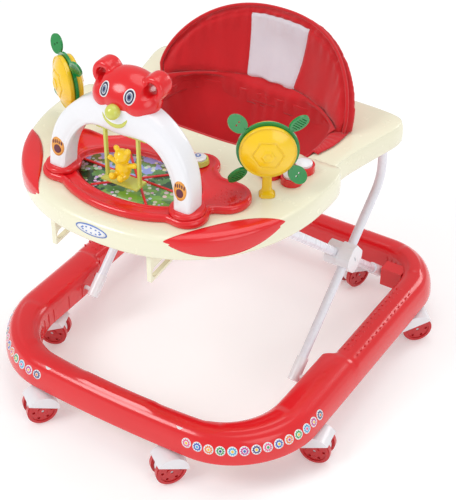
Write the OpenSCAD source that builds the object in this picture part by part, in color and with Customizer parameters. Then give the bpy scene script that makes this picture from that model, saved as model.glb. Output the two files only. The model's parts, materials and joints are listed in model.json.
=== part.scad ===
// Baby walker: a hollow ring base on eight twin-wheel castors, a folding X-frame of bent tube,
// and a toy tray that carries the seat, a play panel, a bear arch, a swing, rattles and buttons.
// The origin is on the floor under the middle of the walker. +Z is up and the front faces -Y.

/* [Base ring] */
// Half width of the ring
ring_half_w = 308; // [300:1:312]
// Front edge of the ring, measured forward of the middle
ring_front = 320; // [316:1:324]
// Rear edge of the ring, measured back from the middle
ring_rear = 339; // [337:1:345]
// Height of the ring's lower edge above the floor
ring_bottom = 61; // [60:1:64]
// Height of the ring's section
ring_h = 49; // [46:1:52]
// Wall thickness of the moulded shells
wall = 3; // [2.5:0.5:3.5]

/* [Castors] */
// Diameter of each wheel
wheel_d = 54; // [50:1:55]
// Width of one wheel of the pair
wheel_w = 11; // [9:1:12]
// Distance from the swivel stem back to the axle
trail = 25; // [22:1:27]
// Diameter of the steel stem
stem_d = 8; // [7:1:9]
// Diameter of the steel axle
axle_d = 5; // [4:0.5:6]

/* [X-frame] */
// Outer diameter of the tubes
tube_d = 16; // [15:0.5:16]
// Wall of the tubes
tube_wall = 1.2; // [1:0.1:1.5]
// Distance of the rear-pivoted legs from the middle
inner_x = 195; // [194:0.5:196]
// Distance of the sliding legs from the middle
outer_x = 214; // [213.5:0.5:215]
// Diameter of the hub and end pins
pin_d = 8; // [6:1:8]
// Greatest fold angle of the rear-pivoted legs
fold_max = 34; // [20:1:34]

/* [Tray] */
// Height of the front deck
deck_z = 480; // [478:1:482]
// How much lower the rear arms are
arm_drop = 28; // [24:1:30]
// Depth of the tray's skirt
skirt = 38; // [34:1:40]

/* [Toys] */
// Half distance between the arch's feet
arch_x = 116; // [114:1:118]
// Distance of each rattle flower from the middle
flower_x = 187; // [184:1:190]
// Turn of each flower away from straight ahead
flower_turn = 33; // [25:1:40]
// Travel of the push buttons
press = 3; // [2:0.5:3.5]

/* [Hidden] */
$fn = 48;
fit = 0.05;
gap = 0.3;
eps = 0.01;

red = [0.86, 0.09, 0.11];
ivory = [0.93, 0.92, 0.80];
white = [0.94, 0.94, 0.96];
steel = [0.72, 0.73, 0.75];
yellow = [0.98, 0.80, 0.05];
green = [0.10, 0.62, 0.28];
lime = [0.80, 0.82, 0.32];

// ---- Outlines and lofts ----

function arc(c, r, a0, a1, n) =
  [for (i = [0:n]) let (a = a0 + (a1 - a0) * i / n) [c.x + r * cos(a), c.y + r * sin(a)]];

function clamp01(t) = min(1, max(0, t));
function smooth(t) = let (s = clamp01(t)) s * s * (3 - 2 * s);

// Cuts every corner of a closed outline once
function rounded(pts) = let (n = len(pts))
  [for (i = [0:n - 1]) let (p = pts[i], q = pts[(i + 1) % n]) each [p * 0.75 + q * 0.25, p * 0.25 + q * 0.75]];

// A half outline from the front middle to the rear middle, closed with its mirror image
function mirrored(half) = let (n = len(half))
  concat(half, [for (i = [n - 2:-1:1]) [-half[i].x, half[i].y]]);

// Skin over a list of equal rings: round and round when closed, else capped at both ends
module loft(rings, closed = false) {
  m = len(rings[0]);
  n = len(rings);
  last = closed ? n - 1 : n - 2;
  sides = [for (i = [0:last]) for (j = [0:m - 1])
    let (a = i * m + j, b = i * m + (j + 1) % m, c = ((i + 1) % n) * m + (j + 1) % m, d = ((i + 1) % n) * m + j)
    each [[a, b, c], [a, c, d]]];
  caps = closed ? [] : [[for (j = [m - 1:-1:0]) j], [for (j = [0:m - 1]) (n - 1) * m + j]];
  polyhedron([for (r = rings) each r], concat(sides, caps), 6);
}

// One section of a channel between an inner and an outer point; each profile entry is
// [share of the width, millimetres outwards, height]
function channel_section(inner, outer, profile) =
  let (w = norm(outer - inner), out = (outer - inner) / w)
  [for (p = profile) let (q = inner + out * (w * p[0] + p[1])) [q.x, q.y, p[2]]];

// ---- Base ring ----

ring_top = ring_bottom + ring_h;
corner_steps = 9;
step_front = -37;
step_rear = -21;
side_ys = [60, step_rear, step_front, -90];
front_shares = [-0.6, -0.2, 0.2, 0.6];

// Rounded rectangle whose front bows out and whose front half is narrowed by a share
function ring_outline(hw, front, rear, r_front, r_rear, bow, narrow) =
  [for (p = concat(
      arc([hw - r_rear, rear - r_rear], r_rear, 0, 90, corner_steps),
      arc([r_rear - hw, rear - r_rear], r_rear, 90, 180, corner_steps),
      [for (y = side_ys) [-hw, y]],
      arc([r_front - hw, r_front - front], r_front, 180, 270, corner_steps),
      [for (s = front_shares) [s * (hw - r_front), -front]],
      arc([hw - r_front, r_front - front], r_front, 270, 360, corner_steps),
      [for (i = [len(side_ys) - 1:-1:0]) [hw, side_ys[i]]]))
    let (
      narrowed = 1 - narrow * clamp01((step_rear - p.y) / (step_rear - step_front)),
      bowed = p.y < 0 ? bow * (1 - pow(p.x / hw, 2)) * pow(p.y / front, 2) : 0)
    [p.x * narrowed, p.y - bowed]];

ring_outer = ring_outline(ring_half_w, ring_front, ring_rear, 148, 115, 18, 0);
ring_inner = ring_outline(252, 270, 285, 92, 62, 18, 0.067);
ring_profile = [
  [0, 0, ring_bottom], [0, 0, ring_top - 18], [0, 2, ring_top - 9], [0, 8, ring_top - 3],
  [0.3, 0, ring_top], [0.5, 0, ring_top], [0.68, 0, ring_top - 2.5], [0.83, 0, ring_top - 9],
  [0.94, 0, ring_top - 21], [0.99, 0, ring_top - 36], [1, 0, ring_bottom],
  [1, -wall, ring_bottom], [0.99, -wall, ring_top - 37], [0.94, -wall, ring_top - 23],
  [0.83, -wall, ring_top - 13], [0.68, -1, ring_top - 6], [0.5, 0, ring_top - wall],
  [0.3, 0, ring_top - wall], [0, 10, ring_top - 6], [0, wall + 2, ring_top - 11],
  [0, wall, ring_top - 18], [0, wall, ring_bottom]];

frame_z = 82;            // height of both lower pivots
slide_rest_y = -85;      // sliding ends at rest
rear_pivot = [250, frame_z];
hub = [83, 228];
hub_arm = hub - rear_pivot;   // from the rear pivot to the hub

// Turns a point of the YZ plane about +X
function turned(p, a) = [p[0] * cos(a) - p[1] * sin(a), p[0] * sin(a) + p[1] * cos(a)];

slide_end_y = rear_pivot[0] + 2 * turned(hub_arm, fold_max)[0];

module base_shell() color(red) difference() {
  loft([for (i = [0:len(ring_outer) - 1]) channel_section(ring_inner[i], ring_outer[i], ring_profile)], true);
  for (s = [-1, 1])
    translate([s > 0 ? 225 : -247, slide_end_y - 6, frame_z - 5]) cube([22, slide_rest_y - slide_end_y + 12, 10]);
}

// Stem position and heading of each castor, numbered round from the front left
castor_spots = [
  [-134, -315, 235], [134, -315, 235], [279, -165, 10], [280, 193, 43],
  [134, 312.7, 252], [-134, 312.7, 75], [-279, 193, 170], [-279, -165, 20]];
socket_top = ring_top - 2;
stem_top = ring_top - 12;

module castor_sockets() color(white) for (c = castor_spots) translate([c[0], c[1], 0]) difference() {
  union() {
    translate([0, 0, ring_bottom]) cylinder(h = socket_top - ring_bottom, d = stem_d + 8);
    translate([0, 0, ring_bottom]) cylinder(h = 2, d = stem_d + 14);
  }
  translate([0, 0, ring_bottom - eps]) cylinder(h = stem_top - ring_bottom + 2, d = stem_d + 2 * fit);
}

boss_x = 209;
module rear_pivot_bosses() color(red) for (s = [-1, 1]) difference() {
  translate([s > 0 ? boss_x : -250, rear_pivot[0] - 13, ring_bottom + 2]) cube([250 - boss_x, 26, 38]);
  translate([s * boss_x - 1, rear_pivot[0], frame_z]) rotate([0, 90, 0])
    translate([0, 0, s > 0 ? 0 : -24]) cylinder(h = 26, d = pin_d + 2 * fit);
}

module rear_pivot_pins() color(steel) for (s = [-1, 1])
  translate([0, rear_pivot[0], frame_z]) rotate([0, s * 90, 0]) {
    translate([0, 0, 184]) cylinder(h = boss_x + 22 - 184, d = pin_d);
    translate([0, 0, 181]) cylinder(h = 3, d = pin_d + 6);
  }

// ---- Castors, drawn with the stem at the origin and the wheels trailing along +X ----

web_half = 6.5;
hood_r = wheel_d / 2 + 3;
axle_z = wheel_d / 2;
hood_top = ring_bottom - 3;
wheel_in = web_half + 1;
hood_half = wheel_in + wheel_w + 2.5;

module at_castor(i) translate([castor_spots[i - 1][0], castor_spots[i - 1][1], 0])
  rotate([0, 0, castor_spots[i - 1][2]]) children();

module across(h, d) rotate([90, 0, 0]) cylinder(h = h, d = d, center = true);

module castor_hood(i) color(white) at_castor(i) difference() {
  union() {
    translate([trail, 0, axle_z]) across(2 * web_half, wheel_d - 10);
    difference() {
      translate([trail, 0, axle_z]) across(2 * hood_half, 2 * hood_r);
      translate([trail, 0, axle_z]) rotate([0, -21, 0])
        translate([0, 0, -50 + 9]) cube([150, 80, 100], center = true);
      for (s = [-1, 1]) translate([trail, s * (hood_half - 1.6 - 20), axle_z])
        intersection() {
          across(40, 2 * hood_r - 3.2);
          translate([0, s * (20 - (hood_half - 1.6) + web_half + 50), 0]) cube([100, 100, 100], center = true);
        }
    }
    cylinder(h = hood_top, d = 2 * web_half);
    translate([0, -web_half, axle_z - 8]) cube([trail, 2 * web_half, 26]);
  }
  translate([0, 0, axle_z - 12]) cylinder(h = 60, d = stem_d + 2 * fit);
  translate([trail, 0, axle_z]) across(60, axle_d + 2 * fit);
  translate([0, 0, -50 + axle_z - 14]) cube([2 * web_half + 2, 60, 100], center = true);
}

module castor_pins(i) color(steel) at_castor(i) {
  translate([0, 0, axle_z - 12 + gap]) cylinder(h = stem_top - axle_z + 12, d = stem_d);
  translate([trail, 0, axle_z]) across(2 * (wheel_in + wheel_w) - 2, axle_d);
}

module castor_wheels(i) color(red) at_castor(i) for (s = [-1, 1])
  translate([trail, s * (wheel_in + wheel_w / 2), axle_z]) rotate([s * 90, 0, 0]) difference() {
    union() {
      cylinder(h = wheel_w, d = wheel_d - 3, center = true);
      cylinder(h = wheel_w - 3, d = wheel_d, center = true);
    }
    cylinder(h = wheel_w + 2, d = axle_d + 4 * fit, center = true);
    translate([0, 0, -wheel_w / 2 - 1]) difference() {
      cylinder(h = 2.5, d = wheel_d - 12);
      translate([0, 0, -1]) cylinder(h = 5, d = 16);
    }
    for (a = [0:60:300]) rotate([0, 0, a]) translate([16, 0, -wheel_w / 2 + 1]) cylinder(h = 3, d = 5);
  }

// ---- X-frame ----

slope = atan2(hub_arm[1], -hub_arm[0]);
crossbar_front_z = 428;
crossbar_front = [rear_pivot[0] - (crossbar_front_z - frame_z) / tan(slope), crossbar_front_z];
crossbar_rear = [196, 427];
inner_len = norm(crossbar_front - rear_pivot);
bend_r = 34;

// Tube along +Z from the origin
module tube(h) difference() {
  cylinder(h = h, d = tube_d);
  translate([0, 0, -1]) cylinder(h = h + 2, d = tube_d - 2 * tube_wall);
}

// Bend that leaves the origin along +Z and turns towards +Y
module bend(r, a) translate([0, r, 0]) rotate([0, -90, 0]) rotate([0, 0, -90])
  rotate_extrude(angle = a) translate([r, 0]) difference() {
    circle(d = tube_d);
    circle(d = tube_d - 2 * tube_wall);
  }

// Two elbows and the crossbar between them, for legs that come up along Z
module crossbar(half) {
  for (s = [-1, 1]) translate([s * half, 0, -bend_r]) rotate([0, 0, s * 90]) bend(bend_r, 90);
  translate([bend_r - half, 0, 0]) rotate([0, 90, 0]) tube(2 * (half - bend_r));
}

// U of the rear-pivoted legs in its own plane: legs along +Z, crossbar along X at the far end
module inner_u() {
  for (s = [-1, 1]) translate([s * inner_x, 0, 12]) tube(inner_len - bend_r - 12);
  translate([0, 0, inner_len]) crossbar(inner_x);
}

module in_inner_frame() translate([0, rear_pivot[0], rear_pivot[1]]) rotate([90 - slope, 0, 0]) children();

module x_pin(p, d, half) translate([0, p[0], p[1]]) rotate([0, 90, 0]) cylinder(h = 2 * half, d = d, center = true);

module inner_tube() color(white) difference() {
  in_inner_frame() inner_u();
  x_pin(hub, pin_d + 2 * fit, 240);
}

module inner_tube_ends() color(white) for (s = [-1, 1]) difference() {
  translate([s * inner_x, 0, 0]) in_inner_frame() {
    translate([0, 0, -11]) cylinder(h = 23 - eps, d = 21);
    translate([0, 0, 12]) difference() {
      cylinder(h = 20, d = 21);
      translate([0, 0, -eps]) cylinder(h = 21, d = tube_d + 2 * fit);
    }
  }
  x_pin(rear_pivot, pin_d + 2 * fit, 240);
}

// The sliding legs rise at the same slope, bend upright and cross under the tray's rear band
knee_r = 60;
knee_turn = 90 - slope;
knee_in = knee_r * tan(knee_turn / 2);
slide_rest = [slide_rest_y, frame_z];
knee = [crossbar_rear[0], frame_z + (crossbar_rear[0] - slide_rest_y) * tan(slope)];
lower_len = norm(knee - slide_rest) - knee_in;

module outer_u() {
  for (s = [-1, 1]) translate([s * outer_x, 0, 0]) {
    translate([0, slide_rest[0], slide_rest[1]]) rotate([slope - 90, 0, 0]) {
      translate([0, 0, 12]) tube(lower_len - 12);
      translate([0, 0, lower_len]) rotate([0, 0, 180]) bend(knee_r, knee_turn);
    }
    // The upright is a second length of tube that butts against the bend
    translate([0, knee[0], knee[1] + knee_in + fit]) tube(crossbar_rear[1] - bend_r - knee[1] - knee_in - fit);
  }
  translate([0, crossbar_rear[0], crossbar_rear[1]]) crossbar(outer_x);
}

module outer_tube() color(white) difference() {
  outer_u();
  x_pin(hub, pin_d + 2 * fit, 240);
}

module outer_tube_ends() color(white) for (s = [-1, 1]) translate([s * outer_x, slide_rest[0], slide_rest[1]]) {
  rotate([slope - 90, 0, 0]) {
    translate([0, 0, -11]) cylinder(h = 23 - eps, d = 21);
    translate([0, 0, 12]) difference() {
      cylinder(h = 20, d = 21);
      translate([0, 0, -eps]) cylinder(h = 21, d = tube_d + 2 * fit);
    }
  }
  rotate([0, s * 90, 0]) {
    cylinder(h = 30, d = pin_d);
    translate([0, 0, 26.5]) cylinder(h = 3.5, d = pin_d + 5);
  }
}

hub_split = 204.6;
hub_d = 48;
module inner_hub_blocks() color(white) for (s = [-1, 1]) difference() {
  intersection() {
    translate([0, hub[0], hub[1]]) rotate([0, s * 90, 0]) translate([0, 0, 181]) cylinder(h = hub_split - 181 - 0.2, d = hub_d);
    translate([s * inner_x, hub[0], hub[1]]) rotate([-slope, 0, 0]) cube([60, 44, 42], center = true);
  }
  translate([s * inner_x, 0, 0]) in_inner_frame() cylinder(h = 400, d = tube_d + 2 * fit);
  x_pin(hub, pin_d + 2 * fit, 240);
}

module outer_hub_blocks() color(white) for (s = [-1, 1]) difference() {
  intersection() {
    translate([0, hub[0], hub[1]]) rotate([0, s * 90, 0])
      translate([0, 0, hub_split + 0.2]) cylinder(h = 25.2, d = hub_d + 4);
    translate([s * outer_x, hub[0], hub[1]]) rotate([slope, 0, 0]) cube([60, 44, 48], center = true);
  }
  translate([s * outer_x, slide_rest[0], slide_rest[1]]) rotate([slope - 90, 0, 0]) cylinder(h = 400, d = tube_d + 2 * fit);
  x_pin(hub, pin_d + 2 * fit, 226);
  translate([s * 229, hub[0], hub[1]]) rotate([20, 0, 0]) cube([6, 3, 11], center = true);
}

module hub_pins() color(steel) for (s = [-1, 1]) translate([0, hub[0], hub[1]]) rotate([0, s * 90, 0]) {
  translate([0, 0, 180.8]) cylinder(h = 225.5 - 180.8, d = pin_d);
  translate([0, 0, 178]) cylinder(h = 2.8, d = pin_d + 7);
}

// ---- Tray ----

tray_half_outer = [[0, -346], [70, -341], [135, -318], [190, -276], [232, -215], [254, -145], [258, -80],
  [256, -35], [240, -13], [220, 0], [217, 36], [228, 90], [240, 140], [250, 180], [246, 208], [215, 217],
  [120, 219], [0, 219]];
tray_half_hole = [[0, -50], [35, -50], [70, -48], [100, -42], [125, -32], [143, -18], [155, 0], [162, 18],
  [165, 34], [166, 48], [166, 62], [165, 80], [162, 105], [150, 135], [135, 150], [105, 161], [60, 165], [0, 165]];
tray_outer = rounded(mirrored(tray_half_outer));
tray_hole = rounded(mirrored(tray_half_hole));

// The deck is high in front of the waist and lower along the arms
function deck_at(y) = deck_z - arm_drop * smooth((y + 22) / 34);

tray_profile = [
  [0, 0, -24], [0, 0, -4], [0, 4, 0], [0.92, 0, 0], [1, -6, -4], [1, -3, -14], [1, 0, -skirt],
  [1, -wall, -skirt], [1, -wall - 3, -15], [1, -wall - 7, -6], [0.92, -4, -wall], [0, 6, -wall],
  [0, wall, -7], [0, wall, -24]];

function on_deck(section) = [for (p = section) [p.x, p.y, deck_at(p.y) + p.z]];

module tray_shell() color(ivory) difference() {
  loft([for (i = [0:len(tray_outer) - 1])
    on_deck(channel_section(tray_hole[i], tray_outer[i], tray_profile))], true);
  for (s = [-1, 1]) at_flower(s) translate([0, 0, -10]) cylinder(h = 20, d = 9);
}

// A red lens over each front corner: its edges run down the skirt and in over the deck
accent_first = 5;
accent_last = 10;
accent_steps = 14;
accent_gap = 0.35;
function outline_at(pts, t) = let (i = floor(t), s = t - i) pts[i] * (1 - s) + pts[i + 1] * s;
accent_path = [[0.1, -33], [-1.3, -24], [-2.8, -14], [-5.4, -3.6], [-8.5, 0.3], [-34, 0.3]];
accent_out = [[1.6, 0], [1.6, 0], [1.6, 0], [1.2, 1.2], [0, 1.6], [0, 1.6]];
function path_at(s, lift) = let (t = s * 4.999, p = outline_at(accent_path, t), o = outline_at(accent_out, t)) p + o * lift;

module tray_accents() color(red) for (m = [0, 1]) mirror([m, 0, 0])
  loft([for (k = [0:accent_steps]) let (
      t = k / accent_steps,
      h = 0.04 + 0.96 * pow(sin(180 * t), 0.8),
      i = accent_first + (accent_last - accent_first) * t,
      out = outline_at(tray_outer, i),
      hole = outline_at(tray_hole, i),
      dir = (out - hole) / norm(out - hole),
      ss = [for (q = [0:6]) 0.45 + h * (q / 6 * 1 - 0.45)],
      sec = concat([for (s = ss) path_at(s, 1)], [for (q = [6:-1:0]) path_at(ss[q], accent_gap)]))
    [for (p = sec) [out.x + dir.x * p[0], out.y + dir.y * p[0], deck_z + p[1]]]]);

// ---- Folding geometry: the tray tips slightly as it goes down ----

tray_tip = 0.14;
// Front crossbar's place in the tray's frame at a fold angle
function crossbar_in_tray(a) = let (
    h = rear_pivot + turned(hub_arm, a),
    front = h + turned(crossbar_front - hub, a),
    rear = h + turned(crossbar_rear - hub, -a))
  crossbar_rear + turned(front - rear, -tray_tip * a);

rack_x = 90;
rack_t = 8;
slot_r = tube_d / 2 + 1;
rack_steps = 8;
rack_path = [for (i = [0:rack_steps]) crossbar_in_tray(fold_max * i / rack_steps)];
rack_front = rack_path[rack_steps][0] - 11.5;
rack_rear = crossbar_front[0] + 20;
saddle_x = 140;

// Draws a YZ outline as a plate about x
module plate(x, t) translate([x - t / 2, 0, 0]) rotate([90, 0, 90]) linear_extrude(t) children();

module tray_racks() color(ivory) for (s = [-1, 1]) {
  difference() {
    plate(s * rack_x, rack_t) polygon([
      [rack_front, deck_z - 18], [rack_front + 26, deck_z - 4], [rack_rear, deck_z - 4],
      [rack_rear, crossbar_front[1] - 15], [rack_front, rack_path[rack_steps][1] - 15]]);
    plate(s * rack_x, rack_t + 2) {
      polygon(concat([for (p = rack_path) p + [0, slot_r]],
        [for (i = [rack_steps:-1:0]) rack_path[i] - [0, slot_r]]));
      translate(rack_path[0]) circle(r = slot_r);
      translate(rack_path[rack_steps]) circle(r = slot_r);
    }
  }
  difference() {
    plate(s * saddle_x, 22) {
      translate(crossbar_rear) circle(d = tube_d + 9);
      translate([crossbar_rear[0] - 8, crossbar_rear[1]]) square([16, deck_z - arm_drop - 4 - crossbar_rear[1]]);
    }
    plate(s * saddle_x, 24) translate(crossbar_rear) circle(d = tube_d + 2 * fit);
  }
}

// ---- Play panel and arch ----

panel_c = [0, -215];
panel_h = 12;
arch_y = -258;
arch_depth = 38;
disc_r = [104, 56];

module ellipse(c, r) translate(c)
  polygon([for (a = [0:7.5:352.5]) [r[0] * cos(a), r[1] * sin(a)]]);

module play_panel() color(red) translate([0, 0, deck_z + gap]) difference() {
  linear_extrude(panel_h) {
    ellipse(panel_c, [142, 100]);
    for (s = [-1, 1]) {
      translate([s * arch_x, arch_y]) circle(r = 33);
      translate([s * 132, -196]) circle(r = 34);
      translate([s * 62, -138]) circle(r = 30);
    }
  }
  translate([0, 0, 4]) linear_extrude(panel_h) ellipse([0, -222], [112, 64]);
}

module picture_disc() color(lime) translate([0, 0, deck_z + gap + 4 + 0.1])
  linear_extrude(1.6) ellipse([0, -222], disc_r);

panel_top = deck_z + gap + panel_h;
arch_out = [[arch_x + 25, panel_top], [arch_x + 27, panel_top + 45], [arch_x + 16, panel_top + 92],
  [arch_x - 16, panel_top + 132], [arch_x - 60, panel_top + 156], [0, panel_top + 160]];
arch_in = [[arch_x - 25, panel_top], [arch_x - 23, panel_top + 40], [arch_x - 34, panel_top + 78],
  [arch_x - 58, panel_top + 97], [arch_x - 90, panel_top + 100], [0, panel_top + 100]];
swing_pivot = [arch_y, panel_top + 96];
swing_x = 30;

// Rounds an open outline once, keeping its ends
function eased(pts) = let (n = len(pts)) concat([pts[0]],
  [for (i = [0:n - 2]) each [pts[i] * 0.75 + pts[i + 1] * 0.25, pts[i] * 0.25 + pts[i + 1] * 0.75]], [pts[n - 1]]);

module arch_outline() {
  half = concat(eased(eased(arch_out)), [for (i = [len(eased(eased(arch_in))) - 1:-1:0]) eased(eased(arch_in))[i]]);
  polygon(half);
  mirror([1, 0]) polygon(half);
}

module arch() color(white) {
  translate([0, arch_y + arch_depth / 2, gap]) rotate([90, 0, 0]) difference() {
    linear_extrude(arch_depth) arch_outline();
    translate([0, 0, arch_depth / 2]) for (s = [-1, 1])
      translate([s * (swing_x + 14), swing_pivot[1] - 1, 0]) cube([14, 12, 13], center = true);
  }
  for (s = [-1, 1]) translate([s * (swing_x + 12), arch_y, swing_pivot[1]]) rotate([0, 90, 0]) difference() {
    cylinder(h = 5, d = 11, center = true);
    cylinder(h = 7, d = 5 + 2 * fit, center = true);
  }
}

head_c = [0, -248, panel_top + 156];
head_r = [57, 41, 37];
ear_c = [44, -243, panel_top + 175];
ear_d = 40;
ear_hole_d = 19;
module bear_head() color(red) difference() {
  union() {
    translate(head_c) scale(head_r) sphere(r = 1, $fn = 40);
    for (s = [-1, 1]) translate([s * ear_c.x, ear_c.y, ear_c.z]) rotate([90, 0, 0]) cylinder(h = 32, d = ear_d, center = true);
  }
  for (s = [-1, 1]) translate([s * ear_c.x, ear_c.y, ear_c.z]) rotate([90, 0, 0]) cylinder(h = 90, d = ear_hole_d, center = true);
  translate([0, arch_y, panel_top + 80]) cube([300, arch_depth + 0.6, 161], center = true);
  translate([0, head_c.y, head_c.z - 28 - 20]) cube([300, 200, 40], center = true);
  nose_and_mouth(0.2);
}

face_y = arch_y - arch_depth / 2;
nose_z = panel_top + 142;
// The nose with its stalk, and the smile; grown all round by a clearance to cut their seat
module nose_and_mouth(grow) {
  translate([0, face_y - 9, nose_z]) sphere(r = 13 + grow);
  translate([0, face_y - 0.6 + grow, nose_z]) rotate([90, 0, 0]) cylinder(h = 8, d = 10 + 2 * grow);
  translate([0, face_y - 1 + grow, nose_z]) rotate([90, 0, 0]) rotate([0, 0, 215])
    rotate_extrude(angle = 110, $fn = 96) translate([21 - grow, 0]) square([5 + 2 * grow, 5 + 2 * grow]);
}

module bear_nose_and_mouth() color(lime) difference() {
  nose_and_mouth(0);
  translate([0, face_y - 0.4 + 50, nose_z]) cube(100, center = true);
}

// ---- Swing ----

plate_z = swing_pivot[1] - 83;
module swing_frame() color(lime) {
  x_pin(swing_pivot, 5, swing_x + 14.5);
  for (s = [-1, 1]) translate([s * swing_x - 2, arch_y - 3, plate_z]) cube([4, 6, swing_pivot[1] - plate_z]);
  translate([-swing_x - 3, arch_y - 13, plate_z - 3]) cube([2 * swing_x + 6, 26, 3]);
}

teddy = plate_z + 2;
module swing_bear() color(yellow) translate([0, arch_y, teddy]) {
  translate([0, 0, 17]) sphere(r = 13.5);
  translate([0, -1, 39]) sphere(r = 12.5);
  translate([0, -12, 36.5]) sphere(r = 4.5);
  for (s = [-1, 1]) {
    translate([s * 10, 0, 49]) rotate([90, 0, 0]) cylinder(h = 5, d = 10, center = true);
    translate([s * 9, 0, 24]) rotate([0, s * 72, 0]) cylinder(h = 14, d = 7);
    translate([s * 22, 0, 28.4]) sphere(r = 4.2);
    translate([s * 7, -6, 7]) rotate([70, 0, 0]) cylinder(h = 13, d = 9);
    translate([s * 7, -19, 11]) sphere(r = 5.6);
  }
}

// ---- Rattle flowers, drawn with the stem's foot at the origin and the face towards -Y ----

flower_y = -147;
flower_h = 84;
dome_d = 90;
foot_t = 1.4;
stem_y = 9.5;            // the stem stands behind the sweep of the leaves
stem_t = 7;
module at_flower(s) translate([s * flower_x, flower_y, deck_z]) rotate([0, 0, s * flower_turn]) children();

module flower_body(s) color(yellow) at_flower(s) {
  translate([0, 0, -8]) cylinder(h = 9, d = 8);
  translate([0, 4, gap]) cylinder(h = foot_t, d = 26);
  translate([-7.5, stem_y, gap]) cube([15, stem_t, flower_h - 20]);
  translate([0, 0, flower_h]) rotate([90, 0, 0]) difference() {
    union() {
      translate([0, 0, -8]) cylinder(h = 16, d = dome_d - 8);
      for (m = [0, 1]) mirror([0, 0, m]) translate([0, 0, 4]) intersection() {
        translate([0, 0, -56]) sphere(r = 74, $fn = 72);
        cylinder(h = 20, d = dome_d - 2);
      }
    }
    difference() {
      cylinder(h = 5, d = dome_d + 10, center = true);
      cylinder(h = 7, d = dome_d - 14, center = true);
    }
    for (m = [0, 1]) mirror([0, 0, m]) translate([0, 0, 16.2]) difference() {
      cylinder(h = 6, d = 46, $fn = 6);
      translate([0, 0, -1]) cylinder(h = 9, d = 41, $fn = 6);
    }
  }
}

paddle_at = 60;
module paddle(kind, twist) translate([paddle_at - 14, 0, 0]) {
  translate([-5, -2.5, -2]) cube([10, 5, 4]);
  rotate([twist, 0, 0]) translate([18, 0, 0]) difference() {
    translate([0, 0, -1.8]) linear_extrude(3.6) ellipse([0, 0], [17, 13]);
    if (kind == 0) for (y = [-3.2, 3.2]) translate([0, y, -3]) cylinder(h = 6, d = 3.4);
    if (kind == 1) for (x = [-10:4:10]) translate([x, 0, 1.2]) cube([1.8, 2 * sqrt(150 - x * x * 0.8) - 6, 2], center = true);
  }
}

module flower_leaves(s) color(green) at_flower(s) translate([0, 0, flower_h]) rotate([90, 0, 0]) {
  difference() {
    cylinder(h = 4.4, d = dome_d + 5, center = true, $fn = 72);
    cylinder(h = 6, d = dome_d - 13, center = true, $fn = 72);
  }
  for (k = [0:3]) rotate([0, 0, 45 + 90 * k]) paddle(k % 2 == 0 ? 1 : 0, k < 2 ? 25 : -30);
}

// ---- Buttons ----

cluster = [181, -76];
lobe = 19;
cap_d = 27;
button_h = 12;
button_spots = [for (a = [45:90:315]) cluster + lobe * sqrt(2) * [cos(a), sin(a)] * 0.98];

module button_base() color(red) translate([0, 0, deck_z + gap]) difference() {
  linear_extrude(button_h) {
    for (p = button_spots) translate(p) circle(d = cap_d + 8);
    translate(cluster) square(2 * lobe, center = true);
  }
  for (p = button_spots) translate([p.x, p.y, 3]) cylinder(h = button_h, d = cap_d + 1);
}

module push_button(i) color(white) translate([button_spots[i - 1].x, button_spots[i - 1].y, deck_z + gap + 3 + press + 0.5])
  intersection() {
    cylinder(h = button_h + 1, d = cap_d);
    translate([0, 0, button_h + 2 - 26]) sphere(r = 25, $fn = 64);
  }

music_c = [58, -140];
module music_button_ring() color(lime) translate([music_c.x, music_c.y, panel_top + 0.1]) difference() {
  cylinder(h = 7, d1 = 34, d2 = 30);
  translate([0, 0, 2]) cylinder(h = 6, d = 25);
}

module music_button() color(white) translate([music_c.x, music_c.y, panel_top + 2.1 + press]) intersection() {
  cylinder(h = 7, d = 24);
  translate([0, 0, 7 - 30]) sphere(r = 30, $fn = 64);
}

// ---- Seat ----

seat_pad_t = 18;
back_low = deck_z - arm_drop + 2;
back_c_y = -48;
back_r = 252;
back_lean = 24;
back_top = 612;
module seat_back_pad() color(red) intersection() {
  translate([0, back_c_y, back_low]) difference() {
    cylinder(h = 160, r1 = back_r, r2 = back_r + back_lean, $fn = 96);
    translate([0, 0, -eps]) cylinder(h = 160 + 1, r1 = back_r - seat_pad_t, r2 = back_r + back_lean - seat_pad_t, $fn = 96);
  }
  translate([0, 300, back_top - 232]) rotate([90, 0, 0]) cylinder(h = 205, r = 232, $fn = 96);
  translate([-260, 98, back_low]) cube([520, 160, 200]);
}

pouch_top = deck_z - arm_drop - 8;
pouch_low = 268;
// Depth below the rim, half width, front and rear reach of each level, then the same inside
pouch_levels = [[0, 154, -42, 150], [70, 142, -34, 142], [130, 116, -14, 128], [165, 84, 12, 108],
  [pouch_top - pouch_low, 50, 36, 84]];
pouch_wall = 7;
function pouch_ring(hw, y0, y1, z) = [for (a = [0:15:345])
  [hw * cos(a), (y0 + y1) / 2 + (y1 - y0) / 2 * sin(a), z]];

module seat_pouch() color(red) difference() {
  loft(concat(
    [for (k = [4:-1:0]) let (v = pouch_levels[k])
      pouch_ring(v[1], v[2], v[3], pouch_top - v[0])],
    [for (k = [0:4]) let (v = pouch_levels[k])
      pouch_ring(v[1] - pouch_wall, v[2] + pouch_wall, v[3] - pouch_wall,
        pouch_top - v[0] + (k == 4 ? pouch_wall : 0))]));
  for (s = [-1, 1]) translate([s * 74, -10, 318]) rotate([58, 0, s * 14])
    cylinder(h = 180, d = 84, center = true);
}

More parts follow.
